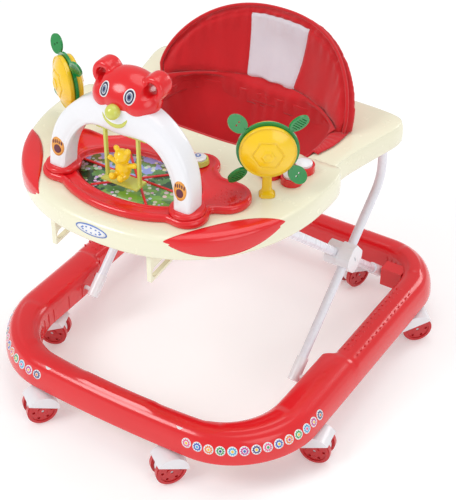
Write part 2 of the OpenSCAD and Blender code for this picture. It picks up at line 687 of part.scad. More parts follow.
base_shell();
castor_sockets();
rear_pivot_bosses();
rear_pivot_pins();
for (i = [1:8]) {
  castor_hood(i);
  castor_pins(i);
  castor_wheels(i);
}
inner_tube();
inner_tube_ends();
inner_hub_blocks();
hub_pins();
outer_tube();
outer_tube_ends();
outer_hub_blocks();
tray_shell();
tray_accents();
tray_racks();
play_panel();
picture_disc();
arch();
bear_head();
bear_nose_and_mouth();
button_base();
music_button_ring();
seat_back_pad();
seat_pouch();
swing_frame();
swing_bear();
flower_body(-1);  // flower_body_left
flower_body(1);  // flower_body_right
flower_leaves(-1);  // flower_leaves_left
flower_leaves(1);  // flower_leaves_right
for (i = [1:4])
  push_button(i);
music_button();
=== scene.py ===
# %% [markdown]
# # A baby walker, finished around its engineering model
# The design (base ring, castors, folding tubes, tray and toys) is already modelled as exact
# solids. This lesson loads it as a fixed frame and builds what shows: glossy mouldings with
# real fillets, printed stickers, a padded seat and the toys. Everything is in metres, +Z is
# up and the walker's front faces -Y.

# %% Load the frame
import json
import math

import bmesh
import bpy
import numpy as np
from mathutils import Matrix, Vector


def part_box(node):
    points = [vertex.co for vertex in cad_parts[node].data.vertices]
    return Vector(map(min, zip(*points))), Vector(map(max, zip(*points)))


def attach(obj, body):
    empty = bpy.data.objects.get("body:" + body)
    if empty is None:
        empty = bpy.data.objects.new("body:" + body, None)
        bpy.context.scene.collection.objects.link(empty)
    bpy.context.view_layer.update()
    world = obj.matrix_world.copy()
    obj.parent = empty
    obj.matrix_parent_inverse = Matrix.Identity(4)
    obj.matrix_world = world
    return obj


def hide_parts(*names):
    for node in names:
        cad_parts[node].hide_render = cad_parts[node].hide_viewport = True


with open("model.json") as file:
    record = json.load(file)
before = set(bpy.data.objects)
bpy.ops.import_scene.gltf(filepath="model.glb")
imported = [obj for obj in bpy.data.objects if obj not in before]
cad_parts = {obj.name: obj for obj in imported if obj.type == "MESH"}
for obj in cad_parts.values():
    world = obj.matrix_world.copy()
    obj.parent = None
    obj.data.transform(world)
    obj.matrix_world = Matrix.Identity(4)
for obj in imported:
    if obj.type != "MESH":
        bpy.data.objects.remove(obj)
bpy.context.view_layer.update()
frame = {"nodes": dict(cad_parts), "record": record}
nodes = frame["nodes"]

MM = 0.001
ring_low, ring_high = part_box("base_shell")
tray_low, tray_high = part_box("tray_shell")
panel_low, panel_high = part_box("play_panel")
arch_low, arch_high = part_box("arch")

# %% [markdown]
# ## Helpers for meshes
# Most of the mouldings are skins over a row of equal rings of points, which is the way a
# thin shell is drawn: an outline, a section, and the section carried round the outline.
# The rings are numpy arrays, so a relief is one more line of arithmetic.

# %% Mesh helpers
def new_object(name, verts, faces, smooth=True):
    mesh = bpy.data.meshes.new(name)
    mesh.from_pydata([tuple(map(float, v)) for v in verts], [], [tuple(map(int, f)) for f in faces])
    mesh.update()
    obj = bpy.data.objects.new(name, mesh)
    bpy.context.scene.collection.objects.link(obj)
    for p in mesh.polygons:
        p.use_smooth = smooth
    return obj


def outward(obj):
    """Merges doubles and turns every face outwards."""
    bm = bmesh.new()
    bm.from_mesh(obj.data)
    bmesh.ops.remove_doubles(bm, verts=bm.verts, dist=1e-6)
    bmesh.ops.recalc_face_normals(bm, faces=bm.faces)
    bm.to_mesh(obj.data)
    bm.free()
    return obj


def ring_faces(rows, cols, loop_rows=False, loop_cols=True):
    faces = []
    for i in range(rows if loop_rows else rows - 1):
        for j in range(cols if loop_cols else cols - 1):
            a, b = i * cols + j, i * cols + (j + 1) % cols
            k = (i + 1) % rows
            faces.append((a, b, k * cols + (j + 1) % cols, k * cols + j))
    return faces


def loft(name, rings, loop=False, caps=True):
    """Skin over equal closed rings; the ends are capped unless the loft closes on itself."""
    rings = np.asarray(rings, float)
    rows, cols = rings.shape[:2]
    faces = ring_faces(rows, cols, loop_rows=loop)
    if caps and not loop:
        faces.append(tuple(range(cols - 1, -1, -1)))
        faces.append(tuple((rows - 1) * cols + j for j in range(cols)))
    return outward(new_object(name, rings.reshape(-1, 3), faces))


def settled(obj):
    """Replaces an object's mesh with its evaluated one, and clears its modifiers."""
    depsgraph = bpy.context.evaluated_depsgraph_get()
    depsgraph.update()
    mesh = bpy.data.meshes.new_from_object(obj.evaluated_get(depsgraph))
    obj.modifiers.clear()
    obj.data = mesh
    for p in mesh.polygons:
        p.use_smooth = True
    return obj


def joined(name, objects):
    """One mesh of several objects that sit at the origin."""
    bm = bmesh.new()
    for o in objects:
        bm.from_mesh(o.data)
        bpy.data.objects.remove(o)
    mesh = bpy.data.meshes.new(name)
    bm.to_mesh(mesh)
    bm.free()
    obj = bpy.data.objects.new(name, mesh)
    bpy.context.scene.collection.objects.link(obj)
    for p in mesh.polygons:
        p.use_smooth = True
    return obj


def melted(obj, voxel, smooth_steps=6):
    """Fuses overlapping closed forms into one skin and softens the seams between them."""
    remesh = obj.modifiers.new("melt", "REMESH")
    remesh.mode = "VOXEL"
    remesh.voxel_size = voxel
    soften = obj.modifiers.new("soften", "SMOOTH")
    soften.factor = 0.5
    soften.iterations = smooth_steps
    return settled(obj)


def smoothstep(t):
    t = np.clip(t, 0, 1)
    return t * t * (3 - 2 * t)


def cut_corners(points, times):
    """Chaikin's rule: each pass cuts every corner of a closed outline."""
    p = np.asarray(points, float)
    for _ in range(times):
        q = np.roll(p, -1, axis=0)
        p = np.stack([0.75 * p + 0.25 * q, 0.25 * p + 0.75 * q], axis=1).reshape(-1, p.shape[1])
    return p


def ease_open(points, times):
    """Chaikin's rule on an open line, which keeps its ends."""
    p = np.asarray(points, float)
    for _ in range(times):
        q = np.stack([0.75 * p[:-1] + 0.25 * p[1:], 0.25 * p[:-1] + 0.75 * p[1:]], axis=1)
        p = np.vstack([p[:1], q.reshape(-1, p.shape[1]), p[-1:]])
    return p


def mirrored_outline(half):
    """A half outline from front middle to rear middle, closed with its mirror image."""
    half = np.asarray(half, float)
    return np.vstack([half, (half * [-1, 1])[-2:0:-1]])


def ellipsoid(name, centre, radii, rings=24, segments=36):
    c = np.asarray(centre, float)
    rows = []
    for i in range(1, rings):
        a = math.pi * i / rings
        turn = np.linspace(0, 2 * math.pi, segments, endpoint=False)
        rows.append(np.stack([c[0] + radii[0] * math.sin(a) * np.cos(turn),
                              c[1] + radii[1] * math.sin(a) * np.sin(turn),
                              np.full(segments, c[2] - radii[2] * math.cos(a))], axis=1))
    verts = np.vstack([np.vstack(rows), [c - [0, 0, radii[2]]], [c + [0, 0, radii[2]]]])
    faces = ring_faces(rings - 1, segments)
    low, high = len(verts) - 2, len(verts) - 1
    top = (rings - 2) * segments
    for j in range(segments):
        k = (j + 1) % segments
        faces.append((low, k, j))
        faces.append((high, top + j, top + k))
    return outward(new_object(name, verts, faces))


def turned_profile(name, profile, segments=64):
    """A closed (radius, height) profile turned about Z."""
    a = np.linspace(0, 2 * math.pi, segments, endpoint=False)
    rings = [[(r * math.cos(t), r * math.sin(t), z) for r, z in profile] for t in a]
    return loft(name, rings, loop=True)


def tube_along(name, path, radius, sides=12, closed=False, flat=1.0):
    """A round tube along a list of points; flat squeezes it along its own normal."""
    p = np.asarray(path, float)
    n = len(p)
    rings = []
    side = Vector((0, 0, 1))
    for i in range(n):
        before, after = (p[i - 1], p[(i + 1) % n]) if closed else (p[max(i - 1, 0)], p[min(i + 1, n - 1)])
        along = Vector(after - before).normalized()
        side = (side - along * side.dot(along)).normalized()
        other = along.cross(side)
        turn = [2 * math.pi * j / sides for j in range(sides)]
        rings.append([tuple(Vector(p[i]) + side * (radius * flat * math.cos(t))
                            + other * (radius * math.sin(t))) for t in turn])
    return loft(name, rings, loop=closed)


def dress(obj, material, body, replaces=()):
    """Gives a finished piece its material, its body and the CAD nodes it stands for."""
    if material is not None:
        obj.data.materials.clear()
        obj.data.materials.append(material)
    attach(obj, body)
    if replaces:
        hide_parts(*replaces)
    print(f"{obj.name}: {len(obj.data.polygons)} faces on {body}")
    return obj


print("helpers ready")

# %% [markdown]
# ## The stage and the camera
# A long lens from above and to the right, the way such a product is usually shown, with
# one large soft key light, a fill and a rim. The floor and backdrop are one pale sweep.

# %% Camera
AZIMUTH, ELEVATION = math.radians(32.8), math.radians(36.0)
FOCAL_SHARE = 2.86          # focal length over the picture's long side
STAND_OFF = 2.51            # metres from the camera to the walker's middle
ahead = Vector((-math.sin(AZIMUTH) * math.cos(ELEVATION), math.cos(AZIMUTH) * math.cos(ELEVATION),
                -math.sin(ELEVATION)))
right = Vector((math.cos(AZIMUTH), math.sin(AZIMUTH), 0))
above = right.cross(ahead)
middle = Vector((0, 0.017, 0.247))
camera_data = bpy.data.cameras.new("camera")
camera_data.sensor_width = 36
camera_data.lens = 36 * FOCAL_SHARE
camera = bpy.data.objects.new("camera", camera_data)
bpy.context.scene.collection.objects.link(camera)
camera.location = middle - ahead * STAND_OFF
aim = ahead + right * 0.0040 - above * 0.0158
camera.rotation_mode = "QUATERNION"
camera.rotation_quaternion = aim.to_track_quat("-Z", "Y")
bpy.context.scene.camera = camera
print("camera at", [round(v, 2) for v in camera.location])

# %% Floor and lights
def pale_material(name, shade):
    material = bpy.data.materials.new(name)
    material.use_nodes = True
    shader = material.node_tree.nodes["Principled BSDF"]
    shader.inputs["Base Color"].default_value = (shade, shade, shade, 1)
    shader.inputs["Roughness"].default_value = 0.75
    shader.inputs["Emission Color"].default_value = (1, 1, 1, 1)
    shader.inputs["Emission Strength"].default_value = 0.22
    return material


floor = new_object("floor", [(-9, -9, 0), (9, -9, 0), (9, 9, 0), (-9, 9, 0)], [(0, 1, 2, 3)], smooth=False)
floor.data.materials.append(pale_material("pale_floor", 0.86))


def area_light(name, place, aim_at, size, watts):
    data = bpy.data.lights.new(name, "AREA")
    data.shape = "DISK"
    data.size = size
    data.energy = watts
    light = bpy.data.objects.new(name, data)
    light.location = place
    light.rotation_mode = "QUATERNION"
    light.rotation_quaternion = (Vector(aim_at) - Vector(place)).to_track_quat("-Z", "Y")
    bpy.context.scene.collection.objects.link(light)


area_light("key", (-1.4, -2.2, 2.6), (0, 0, 0.3), 1.6, 44)
area_light("fill", (2.6, -1.2, 1.5), (0, 0, 0.3), 2.0, 17)
area_light("top", (0.2, 0.6, 3.2), (0, 0, 0.3), 2.4, 23)
area_light("rim", (1.2, 2.6, 1.8), (0, 0, 0.3), 1.2, 16)
world = bpy.data.worlds.new("studio")
world.use_nodes = True
world.node_tree.nodes["Background"].inputs["Color"].default_value = (1, 1, 1, 1)
world.node_tree.nodes["Background"].inputs["Strength"].default_value = 0.56
bpy.context.scene.world = world
bpy.context.scene.view_settings.view_transform = "Standard"
print("stage ready")

# %% [markdown]
# ## Finishes
# Two shader groups carry the effects that several materials share: the slight unevenness
# of moulded plastic and a plain weave for the cloth; the picture card's printed speckle is its own material.
# Each group puts out only colours, values and normals; the Principled shader stays in the
# material with its uniform values on its own sockets.

# %% Shader groups
def shader_group(name, inputs, outputs):
    tree = bpy.data.node_groups.new(name, "ShaderNodeTree")
    for label, kind, value in inputs:
        socket = tree.interface.new_socket(name=label, in_out="INPUT", socket_type=kind)
        socket.default_value = value
    for label, kind in outputs:
        tree.interface.new_socket(name=label, in_out="OUTPUT", socket_type=kind)
    return tree, tree.nodes.new("NodeGroupInput"), tree.nodes.new("NodeGroupOutput")


def add(tree, kind, **settings):
    node = tree.nodes.new(kind)
    for key, value in settings.items():
        if key.startswith("in_"):
            node.inputs[key[3:].replace("_", " ")].default_value = value
        else:
            setattr(node, key, value)
    return node


def mix_colour(tree, factor, a, b, blend="MIX"):
    """A colour mix; each of factor, a and b is a socket or a value."""
    node = tree.nodes.new("ShaderNodeMix")
    node.data_type = "RGBA"
    node.blend_type = blend
    for index, value in ((0, factor), (6, a), (7, b)):
        if isinstance(value, bpy.types.NodeSocket):
            tree.links.new(value, node.inputs[index])
        else:
            node.inputs[index].default_value = value
    return node.outputs[2]


def maths(tree, operation, a, b=0.0):
    node = tree.nodes.new("ShaderNodeMath")
    node.operation = operation
    for index, value in enumerate((a, b)):
        if isinstance(value, bpy.types.NodeSocket):
            tree.links.new(value, node.inputs[index])
        else:
            node.inputs[index].default_value = value
    return node.outputs[0]


def moulded_group():
    tree, given, out = shader_group(
        "moulded_plastic",
        [("Color", "NodeSocketColor", (1, 1, 1, 1)), ("Shade", "NodeSocketColor", (1, 1, 1, 1)),
         ("Roughness", "NodeSocketFloat", 0.2), ("Relief", "NodeSocketFloat", 0.05)],
        [("Color", "NodeSocketColor"), ("Roughness", "NodeSocketFloat"), ("Normal", "NodeSocketVector")])
    place = add(tree, "ShaderNodeTexCoord")
    cloud = add(tree, "ShaderNodeTexNoise", in_Scale=7.0, in_Detail=3.0)
    flow = add(tree, "ShaderNodeTexNoise", in_Scale=60.0, in_Detail=4.0)
    peel = add(tree, "ShaderNodeTexNoise", in_Scale=420.0, in_Detail=2.0)
    for n in (cloud, flow, peel):
        tree.links.new(place.outputs["Object"], n.inputs["Vector"])
    colour = mix_colour(tree, cloud.outputs["Fac"], given.outputs["Color"], given.outputs["Shade"])
    rough = maths(tree, "ADD", given.outputs["Roughness"],
                  maths(tree, "MULTIPLY", maths(tree, "SUBTRACT", flow.outputs["Fac"], 0.5), 0.16))
    bump = add(tree, "ShaderNodeBump", in_Distance=0.0004)
    tree.links.new(given.outputs["Relief"], bump.inputs["Strength"])
    tree.links.new(peel.outputs["Fac"], bump.inputs["Height"])
    tree.links.new(colour, out.inputs["Color"])
    tree.links.new(rough, out.inputs["Roughness"])
    tree.links.new(bump.outputs["Normal"], out.inputs["Normal"])
    return tree


def weave_group():
    tree, given, out = shader_group(
        "plain_weave",
        [("Color", "NodeSocketColor", (1, 1, 1, 1)), ("Shade", "NodeSocketColor", (1, 1, 1, 1)),
         ("Threads", "NodeSocketFloat", 900.0), ("Depth", "NodeSocketFloat", 0.3)],
        [("Color", "NodeSocketColor"), ("Roughness", "NodeSocketFloat"), ("Normal", "NodeSocketVector")])
    place = add(tree, "ShaderNodeTexCoord")
    waves = []
    for direction in ("X", "Z"):
        wave = add(tree, "ShaderNodeTexWave", wave_type="BANDS", bands_direction=direction, in_Distortion=0.6,
                   in_Detail=1.0)
        tree.links.new(place.outputs["Object"], wave.inputs["Vector"])
        tree.links.new(given.outputs["Threads"], wave.inputs["Scale"])
        waves.append(wave.outputs["Fac"])
    threads = maths(tree, "MULTIPLY", waves[0], waves[1])
    slub = add(tree, "ShaderNodeTexNoise", in_Scale=26.0, in_Detail=5.0)
    fold = add(tree, "ShaderNodeTexNoise", in_Scale=9.0, in_Detail=2.0)
    for n in (slub, fold):
        tree.links.new(place.outputs["Object"], n.inputs["Vector"])
    mask = maths(tree, "ADD", maths(tree, "MULTIPLY", threads, 0.35),
                 maths(tree, "MULTIPLY", slub.outputs["Fac"], 0.6))
    colour = mix_colour(tree, mask, given.outputs["Shade"], given.outputs["Color"])
    height = maths(tree, "ADD", maths(tree, "MULTIPLY", threads, 0.35), fold.outputs["Fac"])
    bump = add(tree, "ShaderNodeBump", in_Distance=0.0016)
    tree.links.new(given.outputs["Depth"], bump.inputs["Strength"])
    tree.links.new(height, bump.inputs["Height"])
    tree.links.new(colour, out.inputs["Color"])
    rough = maths(tree, "ADD", 0.72, maths(tree, "MULTIPLY", slub.outputs["Fac"], 0.2))
    tree.links.new(rough, out.inputs["Roughness"])
    tree.links.new(bump.outputs["Normal"], out.inputs["Normal"])
    return tree


MOULDED = moulded_group()
WEAVE = weave_group()
print("shader groups", [g.name for g in bpy.data.node_groups])


# %% Plastic, paint, steel and cloth
def surfaced(name, group, values, settings):
    """A Principled material whose colour, roughness and normal come from a shader group."""
    material = bpy.data.materials.new(name)
    material.use_nodes = True
    tree = material.node_tree
    shader = tree.nodes["Principled BSDF"]
    node = tree.nodes.new("ShaderNodeGroup")
    node.node_tree = group
    for key, value in values.items():
        node.inputs[key].default_value = value
    tree.links.new(node.outputs["Color"], shader.inputs["Base Color"])
    tree.links.new(node.outputs["Roughness"], shader.inputs["Roughness"])
    tree.links.new(node.outputs["Normal"], shader.inputs["Normal"])
    for key, value in settings.items():
        shader.inputs[key].default_value = value
    return material


def plastic(name, colour, shade, roughness=0.22, relief=0.06, coat=0.35):
    return surfaced(name, MOULDED, {"Color": (*colour, 1), "Shade": (*shade, 1), "Roughness": roughness,
                                    "Relief": relief},
                    {"Coat Weight": coat, "Coat Roughness": 0.08, "IOR": 1.49})


def cloth(name, colour, shade, threads=900.0, depth=0.35):
    weave = {"Color": (*colour, 1), "Shade": (*shade, 1), "Threads": threads, "Depth": depth}
    return surfaced(name, WEAVE, weave, {"Sheen Weight": 0.3, "Sheen Roughness": 0.5, "IOR": 1.4})


RED = plastic("red_gloss", (0.78, 0.012, 0.018), (0.70, 0.008, 0.012))
WHEEL_RED = plastic("wheel_red", (0.60, 0.012, 0.018), (0.52, 0.008, 0.012), roughness=0.3)
IVORY = plastic("ivory_gloss", (0.86, 0.83, 0.64), (0.83, 0.80, 0.60), roughness=0.25)
WHITE = plastic("white_gloss", (0.86, 0.86, 0.89), (0.82, 0.82, 0.86), roughness=0.24)
PAINT = plastic("white_powder_coat", (0.84, 0.84, 0.90), (0.78, 0.78, 0.86), roughness=0.28, relief=0.12)
LIME = plastic("lime_gloss", (0.62, 0.64, 0.12), (0.58, 0.60, 0.10))
YELLOW = plastic("yellow_gloss", (0.95, 0.62, 0.010), (0.90, 0.56, 0.008))
GREEN = plastic("green_gloss", (0.004, 0.27, 0.055), (0.003, 0.23, 0.045))
STEEL = surfaced("zinc_steel", MOULDED, {"Color": (0.62, 0.63, 0.65, 1), "Shade": (0.5, 0.5, 0.53, 1),
                                         "Roughness": 0.3, "Relief": 0.2}, {"Metallic": 1.0})
RED_CLOTH = cloth("red_cloth", (0.76, 0.012, 0.020), (0.50, 0.005, 0.010))
print("finishes", len(bpy.data.materials))

# %% Finishes for the solids that stay as they are
finish_of = {"white_plastic": WHITE, "steel": STEEL, "wheel_plastic": WHEEL_RED, "red_plastic": RED,
             "white_tube": PAINT, "ivory_plastic": IVORY, "lime_plastic": LIME, "yellow_plastic": YELLOW,
             "green_plastic": GREEN, "picture_card": WHITE, "red_fabric": RED_CLOTH}
for part in frame["record"]["subparts"]:
    cad = nodes[part["node"]]
    cad.data.materials.clear()
    cad.data.materials.append(finish_of[part["material_slot"]])
print("dressed", len(nodes), "solids")

# %% [markdown]
# ## The base ring
# On the real walker this is one blow of red plastic: a hollow channel, open underneath, with
# raised pads for the parent's thumbs, a step where the front half grows thicker, and ribs
# inside. It is a section carried round a plan outline, so it is built as a loft, and each
# raised detail is a height added where a rule says so.

# %% Plan outlines of the ring
def arc(cx, cy, radius, start, end, steps):
    a = np.radians(np.linspace(start, end, steps + 1))
    return np.column_stack([cx + radius * np.cos(a), cy + radius * np.sin(a)])


def ring_outline(half, front, rear, r_front, r_rear, bow, narrow, steps=26):
    """Rounded rectangle in millimetres; the front bows out and may be narrowed by a share."""
    side = np.concatenate([np.linspace(205, 0, 15), np.linspace(-17, -41, 9), np.linspace(-55, -160, 9)])
    lip = np.linspace(-0.9, 0.9, 21) * (half - r_front)
    p = np.vstack([arc(half - r_rear, rear - r_rear, r_rear, 0, 90, steps),
                   arc(r_rear - half, rear - r_rear, r_rear, 90, 180, steps),
                   np.column_stack([np.full(len(side), -half), side]),
                   arc(r_front - half, r_front - front, r_front, 180, 270, steps),
                   np.column_stack([lip, np.full(len(lip), -front)]),
                   arc(half - r_front, r_front - front, r_front, 270, 360, steps),
                   np.column_stack([np.full(len(side), half), side[::-1]])])
    share = 1 - narrow * np.clip((-21 - p[:, 1]) / 16, 0, 1)
    bowed = np.where(p[:, 1] < 0, bow * (1 - (p[:, 0] / half) ** 2) * (p[:, 1] / front) ** 2, 0)
    return np.column_stack([p[:, 0] * share, p[:, 1] - bowed])


ring_outer = ring_outline(308, 320, 339, 148, 115, 18, 0)
ring_inner = ring_outline(252, 270, 285, 92, 62, 18, 0.067)
RING_LOW, RING_TOP = ring_low.z / MM, ring_high.z / MM
print("ring stations", len(ring_outer))

# %% Section of the ring
ring_profile = np.array([
    [0, 0, RING_LOW], [0, 0, RING_TOP - 18], [0, 2, RING_TOP - 9], [0, 8, RING_TOP - 3],
    [0.3, 0, RING_TOP], [0.5, 0, RING_TOP], [0.68, 0, RING_TOP - 2.5], [0.83, 0, RING_TOP - 9],
    [0.94, 0, RING_TOP - 21], [0.99, 0, RING_TOP - 36], [1, 0, RING_LOW],
    [1, -3, RING_LOW], [0.99, -3, RING_TOP - 37], [0.94, -3, RING_TOP - 23],
    [0.83, -3, RING_TOP - 13], [0.5, 0, RING_TOP - 4], [0.3, 0, RING_TOP - 4],
    [0, 10, RING_TOP - 7], [0, 3, RING_TOP - 18], [0, 3, RING_LOW]])
WIDTH = 56


def along_profile(profile, count):
    """Rounds a closed profile and spaces its points evenly."""
    p = cut_corners(profile, 2)
    flat = np.column_stack([p[:, 0] * WIDTH + p[:, 1], p[:, 2]])
    closed = np.vstack([flat, flat[:1]])
    run = np.concatenate([[0], np.cumsum(np.linalg.norm(np.diff(closed, axis=0), axis=1))])
    at = np.linspace(0, run[-1], count, endpoint=False)
    full = np.vstack([p, p[:1]])
    return np.column_stack([np.interp(at, run, full[:, k]) for k in range(3)])


def edge(t, softness):
    return smoothstep(np.asarray(t) / softness + 0.5)


def band(value, low, high, softness):
    return edge(value - low, softness) * edge(high - value, softness)


def ring_relief(x, y, share):
    """Height in millimetres of the moulded details on the ring's upper face."""
    thumb = band(np.abs(x), -1, 78, 3) * (y < -200) * band(share, 0.12, 0.62, 0.06)
    rear_thumb = band(np.abs(x), -1, 70, 3) * (y > 200) * band(share, 0.2, 0.66, 0.06)
    front_turn = np.degrees(np.arctan2(-(y + 172), np.abs(x) - 160))
    rear_turn = np.degrees(np.arctan2(y - 224, np.abs(x) - 193))
    corner = (y < -172) * band(front_turn, 16, 74, 2.5) * band(share, 0.16, 0.6, 0.06)
    corner_rear = (y > 224) * band(rear_turn, 18, 72, 3) * band(share, 0.2, 0.62, 0.06)
    lines = ((y < -150) * band(front_turn, 2, 88, 5)
             * (band(share, 0.015, 0.045, 0.03) + band(share, 0.085, 0.115, 0.03)))
    thick = edge(-30 - y, 9) * band(share, -0.05, 0.9, 0.2)
    return 2.4 * (thumb + rear_thumb + corner + corner_rear) + 1.1 * lines + 2.2 * thick


fine_profile = along_profile(ring_profile, 104)


def ring_section(inner, outer, profile):
    width = np.linalg.norm(outer - inner)
    away = (outer - inner) / width
    reach = width * profile[:, 0] + profile[:, 1]
    q = inner + away * reach[:, None]
    share = reach / width
    on_top = edge(profile[:, 2] - (RING_TOP - 12), 8)
    return np.column_stack([q, profile[:, 2] + on_top * ring_relief(q[:, 0], q[:, 1], share)]) * MM


ring_sections = [ring_section(i, o, fine_profile) for i, o in zip(ring_inner, ring_outer)]
ring = loft("base_ring", ring_sections, loop=True)
dress(ring, RED, "base", ["base_shell"])

# %% [markdown]
# Studs and ribs repeat along the ring, so a Geometry Nodes tree places them: one small form
# is instanced on a set of points and turned to the direction stored on each point. The tree
# is reused later for the speaker's dots on the play panel.

# %% A tree that repeats a form on points
def repeat_tree():
    tree = bpy.data.node_groups.new("repeat_on_points", "GeometryNodeTree")
    sock = tree.interface.new_socket
    sock(name="Geometry", in_out="INPUT", socket_type="NodeSocketGeometry")
    for label, value in (("Width", 0.002), ("Height", 0.001), ("Length", 0.002)):
        sock(name=label, in_out="INPUT", socket_type="NodeSocketFloat").default_value = value
    sock(name="Finish", in_out="INPUT", socket_type="NodeSocketMaterial")
    sock(name="Geometry", in_out="OUTPUT", socket_type="NodeSocketGeometry")
    given, out = tree.nodes.new("NodeGroupInput"), tree.nodes.new("NodeGroupOutput")
    ball = add(tree, "GeometryNodeMeshUVSphere")
    ball.inputs["Segments"].default_value = 12
    ball.inputs["Rings"].default_value = 7
    ball.inputs["Radius"].default_value = 0.5
    size = tree.nodes.new("ShaderNodeCombineXYZ")
    for label, axis in (("Length", "X"), ("Width", "Y"), ("Height", "Z")):
        tree.links.new(given.outputs[label], size.inputs[axis])
    facing = add(tree, "GeometryNodeInputNamedAttribute", data_type="FLOAT_VECTOR")
    facing.inputs["Name"].default_value = "facing"
    running = add(tree, "GeometryNodeInputNamedAttribute", data_type="FLOAT_VECTOR")
    running.inputs["Name"].default_value = "running"
    first = add(tree, "FunctionNodeAlignRotationToVector", axis="Z")
    second = add(tree, "FunctionNodeAlignRotationToVector", axis="X", pivot_axis="Z")
    spread = tree.nodes.new("GeometryNodeInstanceOnPoints")
    real = tree.nodes.new("GeometryNodeRealizeInstances")
    finish = tree.nodes.new("GeometryNodeSetMaterial")
    link = tree.links.new
    link(facing.outputs["Attribute"], first.inputs["Vector"])
    link(first.outputs["Rotation"], second.inputs["Rotation"])
    link(running.outputs["Attribute"], second.inputs["Vector"])
    link(given.outputs["Geometry"], spread.inputs["Points"])
    link(ball.outputs["Mesh"], spread.inputs["Instance"])
    link(second.outputs["Rotation"], spread.inputs["Rotation"])
    link(size.outputs["Vector"], spread.inputs["Scale"])
    link(spread.outputs["Instances"], real.inputs["Geometry"])
    link(real.outputs["Geometry"], finish.inputs["Geometry"])
    link(given.outputs["Finish"], finish.inputs["Material"])
    link(finish.outputs["Geometry"], out.inputs["Geometry"])
    return tree


REPEAT = repeat_tree()


def repeated(name, points, facing, running, width, height, length, finish):
    """Small rounded forms on a list of points, as one plain mesh."""
    obj = new_object(name, points, [])
    for label, values in (("facing", facing), ("running", running)):
        data = obj.data.attributes.new(label, "FLOAT_VECTOR", "POINT")
        data.data.foreach_set("vector", np.asarray(values, np.float32).ravel())
    modifier = obj.modifiers.new("repeat", "NODES")
    modifier.node_group = REPEAT
    values = {"Width": width, "Height": height, "Length": length, "Finish": finish}
    for item in REPEAT.interface.items_tree:
        if item.in_out == "INPUT" and item.name in values:
            modifier[item.identifier] = values[item.name]
    return settled(obj)


print("repeat tree has", len(REPEAT.nodes), "nodes")

# %% Grip studs on the side rails and ribs inside the channel
stud_points, rib_points = [], []
for y in np.arange(-8, 190, 14.0):
    for sx in (-1, 1):
        for x in (266, 274, 284, 292):
            stud_points.append((sx * x * MM, y * MM, (RING_TOP - 0.2 - 2.2 * (x > 280)) * MM))
STUD_SIZE = (0.0036, 0.0026, 0.0052)
studs = repeated("ring_grip_studs", stud_points, [(0, 0, 1)] * len(stud_points),
                 [(0, 1, 0)] * len(stud_points), *STUD_SIZE, RED)
dress(studs, None, "base")
ribs_facing = []
for i in range(0, len(ring_inner), 3):
    inner, outer = ring_inner[i], ring_outer[i]
    away = (outer - inner) / np.linalg.norm(outer - inner)
    rib_points.append((*(inner * MM), (RING_LOW + 17) * MM))
    ribs_facing.append((-away[0], -away[1], 0))
RIB_SIZE = (0.0034, 0.003, 0.030)
ribs = repeated("ring_wall_ribs", rib_points, ribs_facing, [(0, 0, 1)] * len(rib_points), *RIB_SIZE, RED)
dress(ribs, None, "base")
# %% [markdown]
# ## The daisy strips
# A printed strip runs round each front corner of the ring, on its outer slope. A print has
# no thickness worth the name, but a picture on a curved face is hard to place with texture
# coordinates, so each daisy is a real, very thin form that follows the ring's own section.

# %% Surface of the ring's outer slope
run_outer = np.concatenate([[0], np.cumsum(np.linalg.norm(np.diff(ring_outer, axis=0), axis=1))])
slope_profile = np.array([[0.76, RING_TOP - 5.5], [0.83, RING_TOP - 9.6], [0.89, RING_TOP - 14.8],
                          [0.94, RING_TOP - 22], [0.975, RING_TOP - 30], [0.985, RING_TOP - 37]])
slope_steps = np.hypot(np.diff(slope_profile[:, 0]) * WIDTH, np.diff(slope_profile[:, 1]))
slope_run = np.concatenate([[0], np.cumsum(slope_steps)])


def slope_point(run, down, lift):
    """A point on the outer slope: millimetres along the outline, down the slope, and off it."""
    i = np.interp(run, run_outer, np.arange(len(ring_outer)))
    k = int(min(i, len(ring_outer) - 2))
    s = i - k
    inner = ring_inner[k] * (1 - s) + ring_inner[k + 1] * s
    outer = ring_outer[k] * (1 - s) + ring_outer[k + 1] * s
    away = (outer - inner) / np.linalg.norm(outer - inner)
    width = np.linalg.norm(outer - inner)
    share = np.interp(down, slope_run, slope_profile[:, 0])
    height = np.interp(down, slope_run, slope_profile[:, 1])
    share_b = np.interp(down + 1.0, slope_run, slope_profile[:, 0])
    height_b = np.interp(down + 1.0, slope_run, slope_profile[:, 1])
    fall = np.array([(share_b - share) * WIDTH, height_b - height])
    fall = fall / max(np.linalg.norm(fall), 1e-6) if np.linalg.norm(fall) > 1e-6 else np.array([0.3, -0.95])
    reach = width * share + lift * -fall[1]
    q = inner + away * reach
    return np.array([q[0], q[1], height + lift * fall[0]]) * MM


def printed_on_slope(name, run, down, outline, lift, finish):
    """A thin closed form with a star-shaped outline, in millimetres, laid on the slope."""
    levels = ((1.0, -0.7), (1.0, lift), (0.7, lift), (0.4, lift), (0.1, lift))
    rings = [[slope_point(run + u * k, down + v * k, h) for u, v in outline] for k, h in levels]
    obj = loft(name, rings)
    obj.data.materials.append(finish)
    return obj


strip_runs = []
for corner_x, side_y in ((150, -152), (-150, -152)):
    front_end = int(np.argmin(np.hypot(ring_outer[:, 0] - corner_x, ring_outer[:, 1] + 333)))
    side_x = math.copysign(308, corner_x)
    side_end = int(np.argmin(np.hypot(ring_outer[:, 0] - side_x, ring_outer[:, 1] - side_y)))
    strip_runs.append(sorted((run_outer[front_end], run_outer[side_end])))
print("strips run", [[round(v) for v in s] for s in strip_runs])

# %% Print inks
def ink(name, colour):
    return plastic(name, colour, tuple(0.9 * c for c in colour), roughness=0.4, relief=0.02, coat=0.2)


